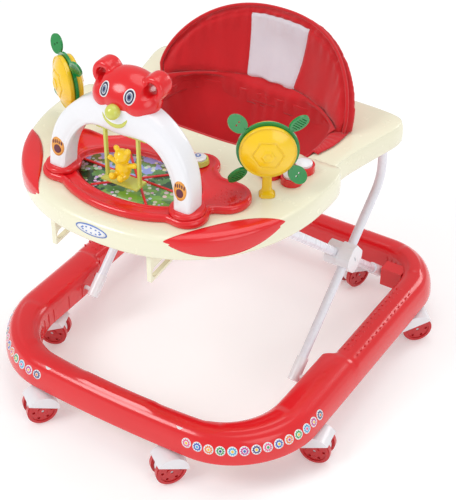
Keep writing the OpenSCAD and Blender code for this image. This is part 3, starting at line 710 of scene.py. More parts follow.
INKS = [ink(f"ink_{n}", c) for n, c in (
    ("pink", (0.85, 0.12, 0.32)), ("blue", (0.03, 0.10, 0.50)), ("orange", (0.90, 0.22, 0.02)),
    ("green", (0.05, 0.38, 0.10)), ("sky", (0.08, 0.42, 0.72)), ("magenta", (0.62, 0.03, 0.30)),
    ("navy", (0.02, 0.03, 0.20)))]
INK_WHITE = ink("ink_white", (0.88, 0.88, 0.90))
INK_YELLOW = ink("ink_yellow", (0.92, 0.60, 0.03))

# %% White strip and its daisies
DAISY_COUNT, DAISY_R, STRIP_DOWN = 14, 8.6, 17.5
petal_outline = [((1 + 0.16 * math.cos(10 * a)) * DAISY_R * 0.74 * math.cos(a),
                  (1 + 0.16 * math.cos(10 * a)) * DAISY_R * 0.74 * math.sin(a))
                 for a in np.linspace(0, 2 * math.pi, 60, endpoint=False)]
disc_outline = [(DAISY_R * math.cos(a), DAISY_R * math.sin(a))
                for a in np.linspace(0, 2 * math.pi, 36, endpoint=False)]
eye_outline = [(0.42 * u, 0.42 * v) for u, v in disc_outline]
dot_outline = [(0.26 * u, 0.26 * v) for u, v in disc_outline]
for side_name, (start, end) in zip(("right", "left"), strip_runs):
    parts = []
    step = (end - start) / DAISY_COUNT
    for n in range(DAISY_COUNT):
        at = start + step * (n + 0.5)
        dot_ink = INKS[(n + 3) % len(INKS)] if n % 2 else INK_YELLOW
        layers = (("disc", disc_outline, 0.25, INK_WHITE), ("petals", petal_outline, 0.45, INKS[n % len(INKS)]),
                  ("eye", eye_outline, 0.62, INK_WHITE), ("dot", dot_outline, 0.78, dot_ink))
        for label, outline, raised, layer_ink in layers:
            parts.append(printed_on_slope(f"{label}_{n}", at, STRIP_DOWN, outline, raised, layer_ink))
    materials = [INK_WHITE, INK_YELLOW, *INKS]
    for o in parts:
        index = materials.index(o.data.materials[0])
        for p in o.data.polygons:
            p.material_index = index
    strip = joined(f"daisy_strip_{side_name}", parts)
    for m in materials:
        strip.data.materials.append(m)
    dress(strip, None, "base")
# %% [markdown]
# ## The tray
# The tray is one ivory moulding: a deck with a waist, two lower arms, and a skirt that rolls
# over at the edge. It is a section carried round again, this time between the seat hole and
# the outer edge, and the deck drops by a smooth step behind the toys.

# %% Tray outlines and section
DECK = tray_high.z / MM
ARM_DROP, SKIRT = 28, 38
TRAY_HALF = [(0, -346), (70, -341), (135, -318), (190, -276), (232, -215), (254, -145), (258, -80),
             (256, -35), (240, -13), (220, 0), (217, 36), (228, 90), (240, 140), (250, 180), (246, 208),
             (215, 217), (120, 219), (0, 219)]
HOLE_HALF = [(0, -50), (35, -50), (70, -48), (100, -42), (125, -32), (143, -18), (155, 0), (162, 18),
             (165, 34), (166, 48), (166, 62), (165, 80), (162, 105), (150, 135), (135, 150), (105, 161),
             (60, 165), (0, 165)]
tray_outer = cut_corners(mirrored_outline(TRAY_HALF), 3)
tray_hole = cut_corners(mirrored_outline(HOLE_HALF), 3)


def deck_at(y):
    return DECK - ARM_DROP * smoothstep((np.asarray(y) + 22) / 34)


tray_profile = cut_corners(np.array([
    [0, 0, -24], [0, 0, -6], [0, 2, -1], [0, 7, 0], [0.5, 0, 0], [0.9, 0, 0], [0.97, 0, -1.2], [1, -3, -4],
    [1, 0, -11], [1, 0, -SKIRT + 3], [1, -1.5, -SKIRT], [1, -3, -SKIRT + 2],
    [1, -4, -15], [1, -8, -7], [0.9, -4, -3.4], [0, 9, -3.4], [0, 3, -8], [0, 3, -24]]), 1)


def tray_section(hole, outer):
    width = np.linalg.norm(outer - hole)
    away = (outer - hole) / width
    q = hole + away * (width * tray_profile[:, 0] + tray_profile[:, 1])[:, None]
    return np.column_stack([q, deck_at(q[:, 1]) + tray_profile[:, 2]]) * MM


tray = loft("tray_top", [tray_section(h, o) for h, o in zip(tray_hole, tray_outer)], loop=True)
dress(tray, IVORY, "tray", ["tray_shell"])

# %% Red lenses over the front corners
LENS_FIRST, LENS_LAST, LENS_STEPS = 10.2, 32.0, 44
lens_path = np.array([[0, -34], [-0.5, -24], [-1, -13], [-3.5, -3.5], [-12, 0.2], [-26, 0.2], [-39, 0.2]])
lens_away = np.array([[1, 0], [1, 0], [1, 0.05], [0.7, 0.7], [0.1, 1], [0, 1], [0, 1]])
lens_run = np.linspace(0, 1, len(lens_path))


def at_index(points, i):
    k = int(i)
    return points[k] * (1 - i + k) + points[k + 1] * (i - k)


def lens_section(t, mirror):
    open_by = max(0.03, math.sin(math.pi * t) ** 0.8)
    outer, hole = (at_index(p, LENS_FIRST + (LENS_LAST - LENS_FIRST) * t) for p in (tray_outer, tray_hole))
    away = (outer - hole) / np.linalg.norm(outer - hole)
    section = []
    for inside in (False, True):
        shares = np.linspace(0, 1, 15)
        for s in (shares if not inside else shares[::-1]):
            q = 0.45 + open_by * (s - 0.45)
            place = np.array([np.interp(q, lens_run, lens_path[:, k]) for k in range(2)])
            off = np.array([np.interp(q, lens_run, lens_away[:, k]) for k in range(2)])
            crown = (0.9 + 2.3 * math.sin(math.pi * s) ** 0.7 * open_by) if not inside else -0.4
            place = place + off * crown
            section.append([mirror * (outer[0] + away[0] * place[0]), outer[1] + away[1] * place[0],
                            DECK + place[1]])
    return np.array(section) * MM


lenses = [loft(f"lens_{m}", [lens_section(t, m) for t in np.linspace(0, 1, LENS_STEPS)]) for m in (-1, 1)]
accents = joined("tray_corner_lenses", lenses)
dress(accents, RED, "tray", ["tray_accents"])

# %% [markdown]
# ## The play panel
# A red tray insert with five lobes blended into an oval, a soft rim and a bowl. Every lobe
# can be seen from the middle, so the outline is a radius for each direction: the farthest
# wall of any lobe, then smoothed, which gives the fillets between the lobes.

# %% Outline of the panel
panel_middle = np.array([0.0, -215.0])
panel_lobes = [(side * x, y, r) for x, y, r in ((116, -258, 33), (140, -190, 40), (62, -138, 30))
               for side in (-1, 1)]
turns = np.linspace(0, 2 * math.pi, 288, endpoint=False)
directions = np.column_stack([np.cos(turns), np.sin(turns)])
reach = 1 / np.hypot(directions[:, 0] / 142, directions[:, 1] / 100)
for x, y, r in panel_lobes:
    centre = np.array([x, y]) - panel_middle
    along = directions @ centre
    inside = r ** 2 - (centre @ centre - along ** 2)
    far_side = along + np.sqrt(np.maximum(inside, 0))
    reach = np.where((inside > 0) & (along > 0), np.maximum(reach, far_side), reach)
kernel = np.exp(-np.linspace(-2, 2, 9) ** 2)
kernel /= kernel.sum()
reach = sum(w * np.roll(reach, k - 4) for k, w in enumerate(kernel))
panel_outline = panel_middle + directions * reach[:, None]
bowl_middle = np.array([0.0, -222.0])
bowl_outline = bowl_middle + np.column_stack([112 * np.cos(turns), 64 * np.sin(turns)])
PANEL_FOOT, PANEL_TOP = panel_low.z / MM, panel_high.z / MM


def inset(outline, amount):
    """Moves a closed outline inwards along its own normals."""
    ahead_ = np.roll(outline, -1, axis=0) - np.roll(outline, 1, axis=0)
    normal = np.column_stack([ahead_[:, 1], -ahead_[:, 0]])
    normal /= np.linalg.norm(normal, axis=1)[:, None]
    return outline - normal * amount


def level(outline, z):
    return np.column_stack([outline, np.full(len(outline), z)]) * MM


# %% Panel body
panel_rings = [level(inset(panel_outline, 1.0), PANEL_FOOT)]
for amount, fall in ((0, 1.2), (0, 6), (0.7, 9), (2.2, 10.9), (4.5, 11.8), (7.5, 12.0)):
    panel_rings.append(level(inset(panel_outline, amount), PANEL_FOOT + fall))
step_ring = inset(panel_outline, 10)
panel_rings.append(level(inset(panel_outline, 8.6), PANEL_TOP - 0.5))
panel_rings.append(level(step_ring, PANEL_TOP - 1.8))
for s in (0.25, 0.55, 0.85):
    panel_rings.append(level(step_ring * (1 - s) + inset(bowl_outline, -9) * s, PANEL_TOP - 1.9))
for amount, rise in ((-6.5, -1.5), (-4.5, -0.1), (-2, 0), (-0.5, -0.6),
                     (0.8, -2.6), (1.6, -6), (3.2, -7.6), (7, -8.1)):
    panel_rings.append(level(inset(bowl_outline, amount), PANEL_TOP + rise))
for s in (0.3, 0.65, 0.97):
    panel_rings.append(level(bowl_outline * (1 - s) + bowl_middle * s, PANEL_TOP - 8.2))
panel = loft("play_panel_top", panel_rings)
dress(panel, RED, "tray", ["play_panel"])

# %% Collars round the arch's feet
ARCH_X, ARCH_Y = 116, -258


def collar(mirror):
    oval = np.column_stack([np.cos(turns[::4]), np.sin(turns[::4])])
    spot = np.array([mirror * ARCH_X, ARCH_Y])
    steps = ((28, 29, -1), (28, 29, 3.5), (27.2, 28.2, 5.6), (25.6, 26.6, 6.8),
             (22, 23, 7.2), (12, 12, 7.2), (0.1, 0.1, 7.2))
    return loft(f"collar_{mirror}", [level(spot + oval * [a, b], PANEL_TOP + h) for a, b, h in steps])


collars = joined("arch_foot_collars", [collar(m) for m in (-1, 1)])
dress(collars, RED, "tray")

# %% Speaker dots on the right lobe
dots = [(146 + 8.5 * i + 4.2 * (j % 2), -200 + 8 * j) for i in range(-2, 3) for j in range(-1, 4)]
dots = [(x * MM, y * MM, (PANEL_TOP - 1.9) * MM) for x, y in dots if math.hypot(x - 146, y + 190) < 23]
DOT_SIZE = (0.0034, 0.0016, 0.0034)
speaker = repeated("speaker_dots", dots, [(0, 0, 1)] * len(dots), [(1, 0, 0)] * len(dots), *DOT_SIZE, RED)
dress(speaker, None, "tray")

# %% [markdown]
# ## The picture in the bowl
# A printed card under the swing, cut in sectors by raised red ribs. The pictures on it are
# only impressions of a garden, so the print is a procedural pattern: sectors by the angle
# round the middle, each with its own ground colour and its own speckle of flowers.

# %% Garden print
def garden_print():
    material = bpy.data.materials.new("garden_print")
    material.use_nodes = True
    tree = material.node_tree
    link = tree.links.new
    place = add(tree, "ShaderNodeTexCoord")
    centred = add(tree, "ShaderNodeMapping")
    centred.inputs["Location"].default_value = (0, 0.222, 0)
    link(place.outputs["Object"], centred.inputs["Vector"])
    split = add(tree, "ShaderNodeSeparateXYZ")
    link(centred.outputs["Vector"], split.inputs["Vector"])
    angle = maths(tree, "ARCTAN2", split.outputs["Y"], split.outputs["X"])
    share = maths(tree, "ADD", maths(tree, "DIVIDE", angle, 2 * math.pi), 0.5)
    ground = add(tree, "ShaderNodeValToRGB")
    ground.color_ramp.interpolation = "CONSTANT"
    colours = [(0.0, (0.010, 0.05, 0.02)), (0.17, (0.22, 0.42, 0.05)), (0.34, (0.18, 0.40, 0.06)),
               (0.50, (0.02, 0.07, 0.03)), (0.66, (0.30, 0.36, 0.75)), (0.84, (0.34, 0.42, 0.80))]
    ramp = ground.color_ramp
    ramp.elements[0].color = (*colours[0][1], 1)
    ramp.elements[1].position = colours[1][0]
    ramp.elements[1].color = (*colours[1][1], 1)
    for at, colour in colours[2:]:
        ramp.elements.new(at).color = (*colour, 1)
    link(share, ground.inputs["Fac"])
    cells = add(tree, "ShaderNodeTexVoronoi", feature="F1", in_Scale=95.0)
    link(place.outputs["Object"], cells.inputs["Vector"])
    flower = maths(tree, "LESS_THAN", cells.outputs["Distance"], 0.34)
    clouds = add(tree, "ShaderNodeTexNoise", in_Scale=55.0, in_Detail=3.0)
    link(place.outputs["Object"], clouds.inputs["Vector"])
    patch = maths(tree, "GREATER_THAN", clouds.outputs["Fac"], 0.52)
    leafy = mix_colour(tree, patch, ground.outputs["Color"], (0.10, 0.25, 0.07, 1))
    petals = mix_colour(tree, 0.55, cells.outputs["Color"], (0.85, 0.80, 0.92, 1))
    colour = mix_colour(tree, maths(tree, "MULTIPLY", flower, 0.8), leafy, petals)
    shader = tree.nodes["Principled BSDF"]
    link(colour, shader.inputs["Base Color"])
    shader.inputs["Roughness"].default_value = 0.25
    shader.inputs["Coat Weight"].default_value = 0.4
    return material


card_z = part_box("picture_disc")[0].z / MM
card_rings = [level(bowl_middle + (bowl_outline - bowl_middle) * k * 0.93, card_z + h)
              for k, h in ((1, 0), (1, 1.5), (0.6, 1.6), (0.3, 1.6), (0.02, 1.6))]
card = loft("garden_card", card_rings)
dress(card, garden_print(), "tray", ["picture_disc"])

# %% Red ribs that cut the card in sectors
spokes = []
for n in range(6):
    a = math.radians(60 * n)
    tip = bowl_middle + np.array([104 * math.cos(a), 60 * math.sin(a)])
    path = [(*(bowl_middle * (1 - s) + tip * s) * MM, (card_z + 1.8) * MM) for s in np.linspace(0.02, 1, 12)]
    spokes.append(tube_along(f"spoke_{n}", path, 0.0022, sides=10))
spokes = joined("card_ribs", spokes)
dress(spokes, RED, "tray")
# %% [markdown]
# ## The arch and the bear's head
# A white arch stands over the bowl. Its legs are broad and flat with softly rounded edges,
# ribbed for small hands, and its middle swells into the bear's muzzle. It is a rounded
# rectangle carried along the space between two curves, from one foot to the other.

# %% Arch curves
ARCH_DEPTH = 38
top = PANEL_TOP
half_out = np.array([[ARCH_X + 16, top], [ARCH_X + 15, top + 46], [ARCH_X + 1, top + 90],
                     [ARCH_X - 31, top + 126], [ARCH_X - 72, top + 149], [0, top + 153]])
half_in = np.array([[ARCH_X - 16, top], [ARCH_X - 17, top + 36], [ARCH_X - 31, top + 70],
                    [ARCH_X - 55, top + 95], [ARCH_X - 88, top + 101], [0, top + 101]])


def evenly(points, count):
    run = np.concatenate([[0], np.cumsum(np.linalg.norm(np.diff(points, axis=0), axis=1))])
    at = np.linspace(0, run[-1], count)
    return np.column_stack([np.interp(at, run, points[:, k]) for k in range(points.shape[1])])


def whole(half):
    line = evenly(ease_open(half, 3), 90)
    return np.vstack([line, (line * [-1, 1])[-2::-1]])


arch_out, arch_in = whole(half_out), whole(half_in)
print("arch stations", len(arch_out))

# %% Arch body
corner_turns = np.linspace(0, 2 * math.pi, 72, endpoint=False)


def arch_section(outer, inner, share):
    """Rounded rectangle between the two curves; share runs 0..1 from foot to foot."""
    middle_, half_width = (outer + inner) / 2, np.linalg.norm(outer - inner) / 2
    away = (outer - inner) / (2 * half_width)
    square = 0.42
    c, s = np.cos(corner_turns), np.sin(corner_turns)
    across = np.sign(c) * np.abs(c) ** square * half_width
    deep = np.sign(s) * np.abs(s) ** square * ARCH_DEPTH / 2
    front_face = s < -0.2
    side = min(share, 1 - share)
    grip = max(0.0, min(1.0, (side - 0.10) / 0.02, (0.30 - side) / 0.02))
    ridges = 0.55 * grip * (1 + math.sin(2 * math.pi * side * 90)) / 2
    middle_band = band(across / half_width, -0.1, 0.82, 0.2) * front_face
    deep = deep - ridges * middle_band
    panel_cut = max(0.0, min(1.0, (side - 0.03) / 0.02, (0.33 - side) / 0.03))
    deep = deep + 1.2 * panel_cut * band(across / half_width, -0.86, -0.42, 0.1) * front_face
    x = middle_[0] + away[0] * across
    z = middle_[1] + away[1] * across
    swell = np.exp(-(x / 36) ** 2) * np.exp(-((z - (top + 132)) / 22) ** 2)
    deep = deep - 12.5 * swell * front_face
    chin = np.exp(-(x / 34) ** 2) * np.exp(-((z - (top + 100)) / 14) ** 2)
    z = z - 5 * chin
    return np.column_stack([x, ARCH_Y + deep, z]) * MM


shares = np.linspace(0, 1, len(arch_out))
ARCH_LEAN = 0.10


def leaned(obj):
    """The arch and all that it carries lean back a little."""
    for v in obj.data.vertices:
        v.co.y += ARCH_LEAN * (v.co.z - top * MM)
    return obj


arch = leaned(loft("bear_arch", [arch_section(o, i, s) for o, i, s in zip(arch_out, arch_in, shares)]))
dress(arch, WHITE, "tray", ["arch"])

# %% [markdown]
# The head is a round red cap with two ear rings. It is melted from closed forms with a voxel
# remesh, the way clay would be joined, and then smoothed, so the ears grow out of the head.

# %% Head
HEAD = np.array([0, -248, top + 155])
EAR = np.array([44, -243, top + 174])


def ear(mirror):
    """A thick ring whose hole runs front to back."""
    front_half = [(9.6, -12), (10.6, -14.6), (13.6, -15.4), (17.8, -14.6), (19.6, -11)]
    profile = front_half + [(20, 0)] + [(r, -h) for r, h in front_half[::-1]]
    ring_ = turned_profile(f"ear_{mirror}", [(r * MM, h * MM) for r, h in profile], segments=64)
    ring_.data.transform(Matrix.Rotation(math.pi / 2, 4, "X"))
    ring_.data.transform(Matrix.Translation(Vector((mirror * EAR[0], EAR[1], EAR[2])) * MM))
    return ring_


skull = ellipsoid("skull", HEAD * MM, (54 * MM, 39 * MM, 36 * MM), rings=40, segments=72)
cheeks = [ellipsoid(f"cheek_{m}", (HEAD + [m * 26, -5, -4]) * MM, (31 * MM, 32 * MM, 27 * MM))
          for m in (-1, 1)]
head = melted(joined("bear_head_cap", [skull, *cheeks, ear(-1), ear(1)]), 0.0016, 5)


def bored(obj, centre, radius, axis, length):
    """Cuts a round hole through a piece."""
    cutter = turned_profile("cutter", [(0.0001, -length / 2), (radius, -length / 2), (radius, length / 2),
                                       (0.0001, length / 2)], segments=48)
    cutter.data.transform(Vector((0, 0, 1)).rotation_difference(Vector(axis)).to_matrix().to_4x4())
    cutter.data.transform(Matrix.Translation(Vector(centre)))
    cut = obj.modifiers.new("bore", "BOOLEAN")
    cut.operation = "DIFFERENCE"
    cut.solver = "EXACT"
    cut.object = cutter
    settled(obj)
    bpy.data.objects.remove(cutter)
    return obj


for m in (-1, 1):
    bored(head, Vector((m * EAR[0], EAR[1], EAR[2])) * MM, 0.0094, (0, 1, 0), 0.12)
floor_cut = bmesh.new()
floor_cut.from_mesh(head.data)
geometry = floor_cut.verts[:] + floor_cut.edges[:] + floor_cut.faces[:]
bmesh.ops.bisect_plane(floor_cut, geom=geometry, plane_co=(0, HEAD[1] * MM, (HEAD[2] - 13) * MM),
                       plane_no=(0, 0.25, -1), clear_outer=True)
bmesh.ops.holes_fill(floor_cut, edges=[e for e in floor_cut.edges if e.is_boundary])
floor_cut.to_mesh(head.data)
floor_cut.free()
leaned(head)
dress(head, RED, "tray", ["bear_head"])

# %% [markdown]
# Eyes, paw badges and the maker's oval are prints. Each is a very thin closed form whose
# points are dropped on the piece it sits on, along one line of sight, so it takes on that
# piece's curve.

# %% Laying a print on any piece
from mathutils.bvhtree import BVHTree


def surface_of(*objects):
    verts, polys = [], []
    for o in objects:
        base = len(verts)
        verts.extend(v.co.copy() for v in o.data.vertices)
        polys.extend([base + i for i in p.vertices] for p in o.data.polygons)
    return BVHTree.FromPolygons(verts, polys)


def printed_on(name, tree, centre, sight, outline, lift, finish, spots=((1.0, -0.6), (1.0, 1.0), (0.75, 1.0),
                                                                       (0.5, 1.0), (0.25, 1.0), (0.05, 1.0))):
    """A star-shaped outline in millimetres, dropped along a line of sight on a surface."""
    sight = Vector(sight).normalized()
    side = sight.cross(Vector((0, 0, 1)) if abs(sight.z) < 0.9 else Vector((0, 1, 0))).normalized()
    up = side.cross(sight)
    rings, last = [], (Vector(centre), -sight)
    for share, sign in spots:
        row = []
        for u, v in outline:
            start = Vector(centre) + (side * (u * share) + up * (v * share)) * MM - sight * 0.08
            hit, normal, _, _ = tree.ray_cast(start, sight, 0.3)
            if hit is None:
                hit, normal = last[0] + (start - last[0]) - sight * (start - last[0]).dot(sight), last[1]
            last = (hit, normal)
            row.append(tuple(hit + normal * lift * MM * sign))
        rings.append(row)
    obj = loft(name, rings)
    obj.data.materials.append(finish)
    return obj


def oval(a, b, count=48):
    t = np.linspace(0, 2 * math.pi, count, endpoint=False)
    return [(a * math.cos(k), b * math.sin(k)) for k in t]


def gather(name, parts, body):
    """Joins prints of several inks into one piece that keeps its materials."""
    materials = []
    for o in parts:
        m = o.data.materials[0]
        if m not in materials:
            materials.append(m)
        for p in o.data.polygons:
            p.material_index = materials.index(m)
    whole_ = joined(name, parts)
    for m in materials:
        whole_.data.materials.append(m)
    return dress(whole_, None, body)


NAVY = ink("ink_deep_navy", (0.012, 0.012, 0.07))
GREY_BLUE = ink("ink_grey_blue", (0.18, 0.25, 0.38))
BADGE_ORANGE = ink("ink_badge_orange", (0.86, 0.36, 0.06))
PAW_PURPLE = ink("ink_paw", (0.12, 0.010, 0.035))
OVAL_BLUE = ink("ink_oval_blue", (0.10, 0.20, 0.58))

# %% Eyes
head_surface = surface_of(head)
eye_parts = []
for m in (-1, 1):
    centre = (Vector((m * 22.5, HEAD[1] - 18, HEAD[2] + 13))) * MM
    sight = (m * -0.12, 1, -0.3)
    for a, b, lift, finish in ((8.8, 12.0, 0.30, INK_WHITE), (7.0, 10.2, 0.50, NAVY),
                               (4.6, 7.3, 0.70, INK_WHITE), (3.7, 6.0, 0.85, GREY_BLUE),
                               (2.1, 3.2, 1.0, NAVY)):
        eye_parts.append(printed_on(f"eye_{m}_{a}", head_surface, centre, sight, oval(a, b), lift, finish))
gather("bear_eyes", eye_parts, "tray")

# %% Nose and smile
arch_surface = surface_of(arch)
NOSE_HALF = (12 * MM, 11.5 * MM, 11.5 * MM)
nose = leaned(ellipsoid("nose", Vector((0, -290.5, top + 142)) * MM, NOSE_HALF, rings=28, segments=40))
smile_path, smile_width = [], []
for t in np.linspace(-1, 1, 41):
    a = math.radians(-90 + 68 * t)
    start = Vector((23.6 * math.cos(a), -340, top + 141.6 + 23.6 * math.sin(a))) * MM
    hit, normal, _, _ = arch_surface.ray_cast(start, Vector((0, 1, 0)), 0.3)
    smile_path.append(hit)
    smile_width.append(0.0042 * max(0.16, math.cos(t * math.pi / 2) ** 0.6))
smile = tube_along("smile", smile_path, 1.0, sides=16)
ring_of = 16
for i, v in enumerate(smile.data.vertices):
    v.co = smile_path[i // ring_of] + (v.co - smile_path[i // ring_of]) * smile_width[i // ring_of]
    v.co.y = smile_path[i // ring_of].y + (v.co.y - smile_path[i // ring_of].y) * 0.35
face = joined("bear_nose_and_smile", [nose, smile])
dress(face, LIME, "tray", ["bear_nose_and_mouth"])

# %% Paw badges and the plain oval on the skirt
badges = []
for m in (-1, 1):
    spot = Vector((m * (ARCH_X - 3), -300, top + 42)) * MM
    badges.append(printed_on(f"badge_{m}", arch_surface, spot, (0, 1, 0), oval(11.5, 16), 0.3, BADGE_ORANGE))
    pad = spot + Vector((0, 0, -4)) * MM
    badges.append(printed_on(f"pad_{m}", arch_surface, pad, (0, 1, 0), oval(6.4, 7.2), 0.55, PAW_PURPLE))
    for n in range(5):
        toe = spot + Vector((-7.6 + 3.8 * n, 0, 9 - 1.1 * abs(n - 2))) * MM
        badges.append(printed_on(f"toe_{m}_{n}", arch_surface, toe, (0, 1, 0), oval(1.15, 3.4, 16), 0.6,
                                 PAW_PURPLE))
gather("paw_badges", badges, "tray")
tray_surface = surface_of(tray)
spot = Vector((0, -360, DECK - 17)) * MM
marks = [printed_on("oval_rim", tray_surface, spot, (0, 1, 0), oval(29, 9.5, 64), 0.3, OVAL_BLUE),
         printed_on("oval_field", tray_surface, spot, (0, 1, 0), oval(26.5, 7.4, 64), 0.5, INK_WHITE)]
for n, a in enumerate(np.linspace(0, 2 * math.pi, 12, endpoint=False)):
    dot = spot + Vector((17.5 * math.cos(a), 0, 4.2 * math.sin(a))) * MM
    marks.append(printed_on(f"oval_dot_{n}", tray_surface, dot, (0, 1, 0), oval(1.7, 1.2, 16), 0.7,
                            OVAL_BLUE))
gather("plain_oval_badge", marks, "tray")
# %% [markdown]
# ## The swing's teddy
# A small solid teddy in yellow plastic, sitting on the swing with its arms out. Its limbs
# flow into its body, so its ball shapes are melted together.

# %% Teddy
plate_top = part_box("swing_bear")[0].z / MM
seat_y = -258


def blob(x, y, z, rx, ry, rz):
    return ellipsoid("blob", Vector((x, seat_y + y, plate_top + z)) * MM, (rx * MM, ry * MM, rz * MM), 16, 24)


blobs = [blob(0, 0, 15.5, 13, 11.5, 15), blob(0, -1, 38.5, 13, 12, 12), blob(0, -11.5, 36, 5, 4.5, 4)]
for m in (-1, 1):
    blobs.append(blob(m * 10.5, 0, 49, 5.4, 3.4, 5.4))
    for s in np.linspace(0, 1, 7):
        blobs.append(blob(m * (9 + 13 * s), -1, 24 + 4.5 * s, 4.1, 4, 4.1))
    blobs.append(blob(m * 23, -1, 29, 4.6, 4.4, 4.6))
    for s in np.linspace(0, 1, 6):
        blobs.append(blob(m * 7, -4 - 13 * s, 6.4 + 2 * s, 5.3, 5, 5.0))
    blobs.append(blob(m * 7.5, -19, 10.5, 5.4, 4.2, 6.4))
teddy = melted(joined("swing_teddy", blobs), 0.0011, 4)
teddy_low = min(v.co.z for v in teddy.data.vertices)
teddy.data.transform(Matrix.Translation((0, 0, plate_top * MM - teddy_low)))
dress(teddy, YELLOW, "swing", ["swing_bear"])

# %% [markdown]
# ## The rattle flowers
# Each flower is a yellow drum on a flat stem, with a hexagon moulded in its face, and a
# green ring of paddles that spins round it. The face is a height over a disc: a shallow
# dome, a groove along a hexagon, and a small raised hexagon in the middle.

# %% Flower drum
RING_GAP = 2.4


def hexagon_distance(x, y):
    """How far out a point is in a hexagon with flat top and bottom."""
    return np.max(np.abs([y, 0.5 * y + 0.866 * x, 0.5 * y - 0.866 * x]), axis=0)


def face_height(x, y):
    r = np.hypot(x, y)
    dome = np.sqrt(np.maximum(74 ** 2 - r ** 2, 0)) - 56 + 4
    h = hexagon_distance(x, y)
    groove = 1.5 * band(h, 19.2, 21.4, 0.8)
    inner = 1.8 * edge(8.6 - h, 1.2) - 1.2 * edge(5.2 - h, 1.0)
    return dome - groove + inner


def drum(name, to_place):
    rows = []
    radii = [0.3, 2.5, 4, 5.2, 6.4, 7.4, 8.2, 9, 10, 12, 14.5, 17, 18.4, 19.2, 20, 20.8, 21.6, 22.4,
             23.4, 25, 27.5, 30, 33, 36, 38.5, 40.4, 41.8]
    a = np.linspace(0, 2 * math.pi, 144, endpoint=False)
    for r in radii:
        x, y = r * np.cos(a), r * np.sin(a)
        rows.append(np.column_stack([x, y, face_height(x, y)]))
    for r, z in ((42.8, 11.2), (43.3, 9.4), (43.4, 5), (43.2, RING_GAP + 1.2),
                 (42.2, RING_GAP + 0.5), (38.6, RING_GAP + 0.5)):
        rows.append(np.column_stack([r * np.cos(a), r * np.sin(a), np.full(len(a), z)]))
    back = [np.column_stack([r[:, 0], r[:, 1], -r[:, 2]]) for r in rows[::-1]]
    obj = loft(name, rows + back)
    obj.data.transform(to_place)
    return outward(obj)


def flower_place(side):
    box_low, box_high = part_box(f"flower_body_{side}")
    turn = math.radians(33 if side == "right" else -33)
    return Matrix.Translation(((box_low.x + box_high.x) / 2, (box_low.y + box_high.y) / 2, DECK * MM)) @ \
        Matrix.Rotation(turn, 4, "Z") @ Matrix.Scale(MM, 4)


def stem(name, to_place):
    """Flat stem behind the paddles' sweep, flaring a little where it meets the drum and the deck."""
    rings = []
    for z, half, thick, back in ((-8, 3.9, 3.9, 0), (0, 3.9, 3.9, 0), (0.3, 12.4, 12.4, 4),
                                 (1.5, 12.6, 12.6, 4), (2.2, 9, 6, 10.5), (6, 7.6, 3.8, 13),
                                 (30, 7.2, 3.5, 13), (42, 8.6, 3.5, 13), (54, 12, 3.4, 13),
                                 (64, 14, 3.2, 12)):
        c, s = np.cos(turns[::6]), np.sin(turns[::6])
        across = np.sign(c) * np.abs(c) ** 0.55 * half
        deep = np.sign(s) * np.abs(s) ** 0.55 * thick + back
        rings.append(np.column_stack([across, deep, np.full(len(c), z)]))
    obj = loft(name, rings)
    obj.data.transform(to_place)
    return outward(obj)


for side in ("left", "right"):
    foot = flower_place(side)
    upright = foot @ Matrix.Translation((0, 0, 84)) @ Matrix.Rotation(math.pi / 2, 4, "X")
    flower = joined(f"flower_drum_{side}", [drum("drum", upright), stem("stem", foot)])
    dress(flower, YELLOW, f"flower_{side}", [f"flower_body_{side}"])

# %% Blue mark on the music button
button_low, button_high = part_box("music_button")
button_top = surface_of(nodes["music_button"])
spot = (button_low + button_high) / 2 + Vector((0, 0, 0.02))
mark_spot = spot + Vector((-0.0012, 0, 0))
blue = [printed_on("music_field", button_top, spot, (0, 0, -1), oval(7.5, 7.5), 0.25, INK_WHITE),
        printed_on("music_ring", button_top, mark_spot, (0, 0, -1), oval(4.8, 4.8), 0.45, OVAL_BLUE),
        printed_on("music_heart", button_top, mark_spot, (0, 0, -1), oval(2.2, 2.2), 0.65, INK_WHITE)]
gather("music_button_mark", blue, "music")
# %% [markdown]
# ## The seat
# The seat is a padded cloth back that curves round the child, rolled over at its rim with
# piping, and a sling that hangs through the tray with two leg holes. The back is a pad, so
# it is shaped a little thin and then puffed by the cloth simulation with inner pressure;
# seams are pressed in afterwards, because the remesh would wash them out.

# %% Shape of the padded back
BACK_LOW = DECK - ARM_DROP + 2
BACK_CENTRE_Y, BACK_R, BACK_LEAN = -44, 252, 24 / 160
CROWN_TOP, BACK_T = 588, 13
BACK_ENDS = 116
half_angle = math.acos((BACK_ENDS - BACK_CENTRE_Y) / BACK_R)


def crown_at(x):
    """Height of the rim over the middle plane, a round dome that drops steeply at its ends."""
    s = np.clip(np.abs(x) / 196, 0, 1)
    return BACK_LOW + 14 + (CROWN_TOP - BACK_LOW - 14) * (1 - s ** 2.6) ** 0.6


def back_at(angle, z, depth):
    """angle round the back, height, depth in from the outer face."""
    r = BACK_R + BACK_LEAN * (z - BACK_LOW) - depth
    return np.array([r * math.sin(angle), BACK_CENTRE_Y + r * math.cos(angle), z])


def front_depth(z):
    """The pad is thick at its foot, where its face comes forward to the seat hole."""
    return BACK_T + 3 + 21 * (1 - np.clip((z - BACK_LOW) / 84, 0, 1)) ** 1.7


def rim_at(angle):
    return float(crown_at(BACK_R * math.sin(angle)))


def back_section(angle):
    top = rim_at(angle)
    heights = BACK_LOW + 1 + (top - BACK_LOW - 1) * np.linspace(0, 0.97, 22)
    front = [back_at(angle, z, front_depth(z)) for z in heights]
    crest = [back_at(angle, top, BACK_T - 1), back_at(angle, top, 6)]
    rear = [back_at(angle, z, 3) for z in heights[::-1]]
    return np.array(front + crest + rear) * MM


pad_angles = np.linspace(-half_angle, half_angle, 90)
seat_back = loft("seat_back", [back_section(a) for a in pad_angles])

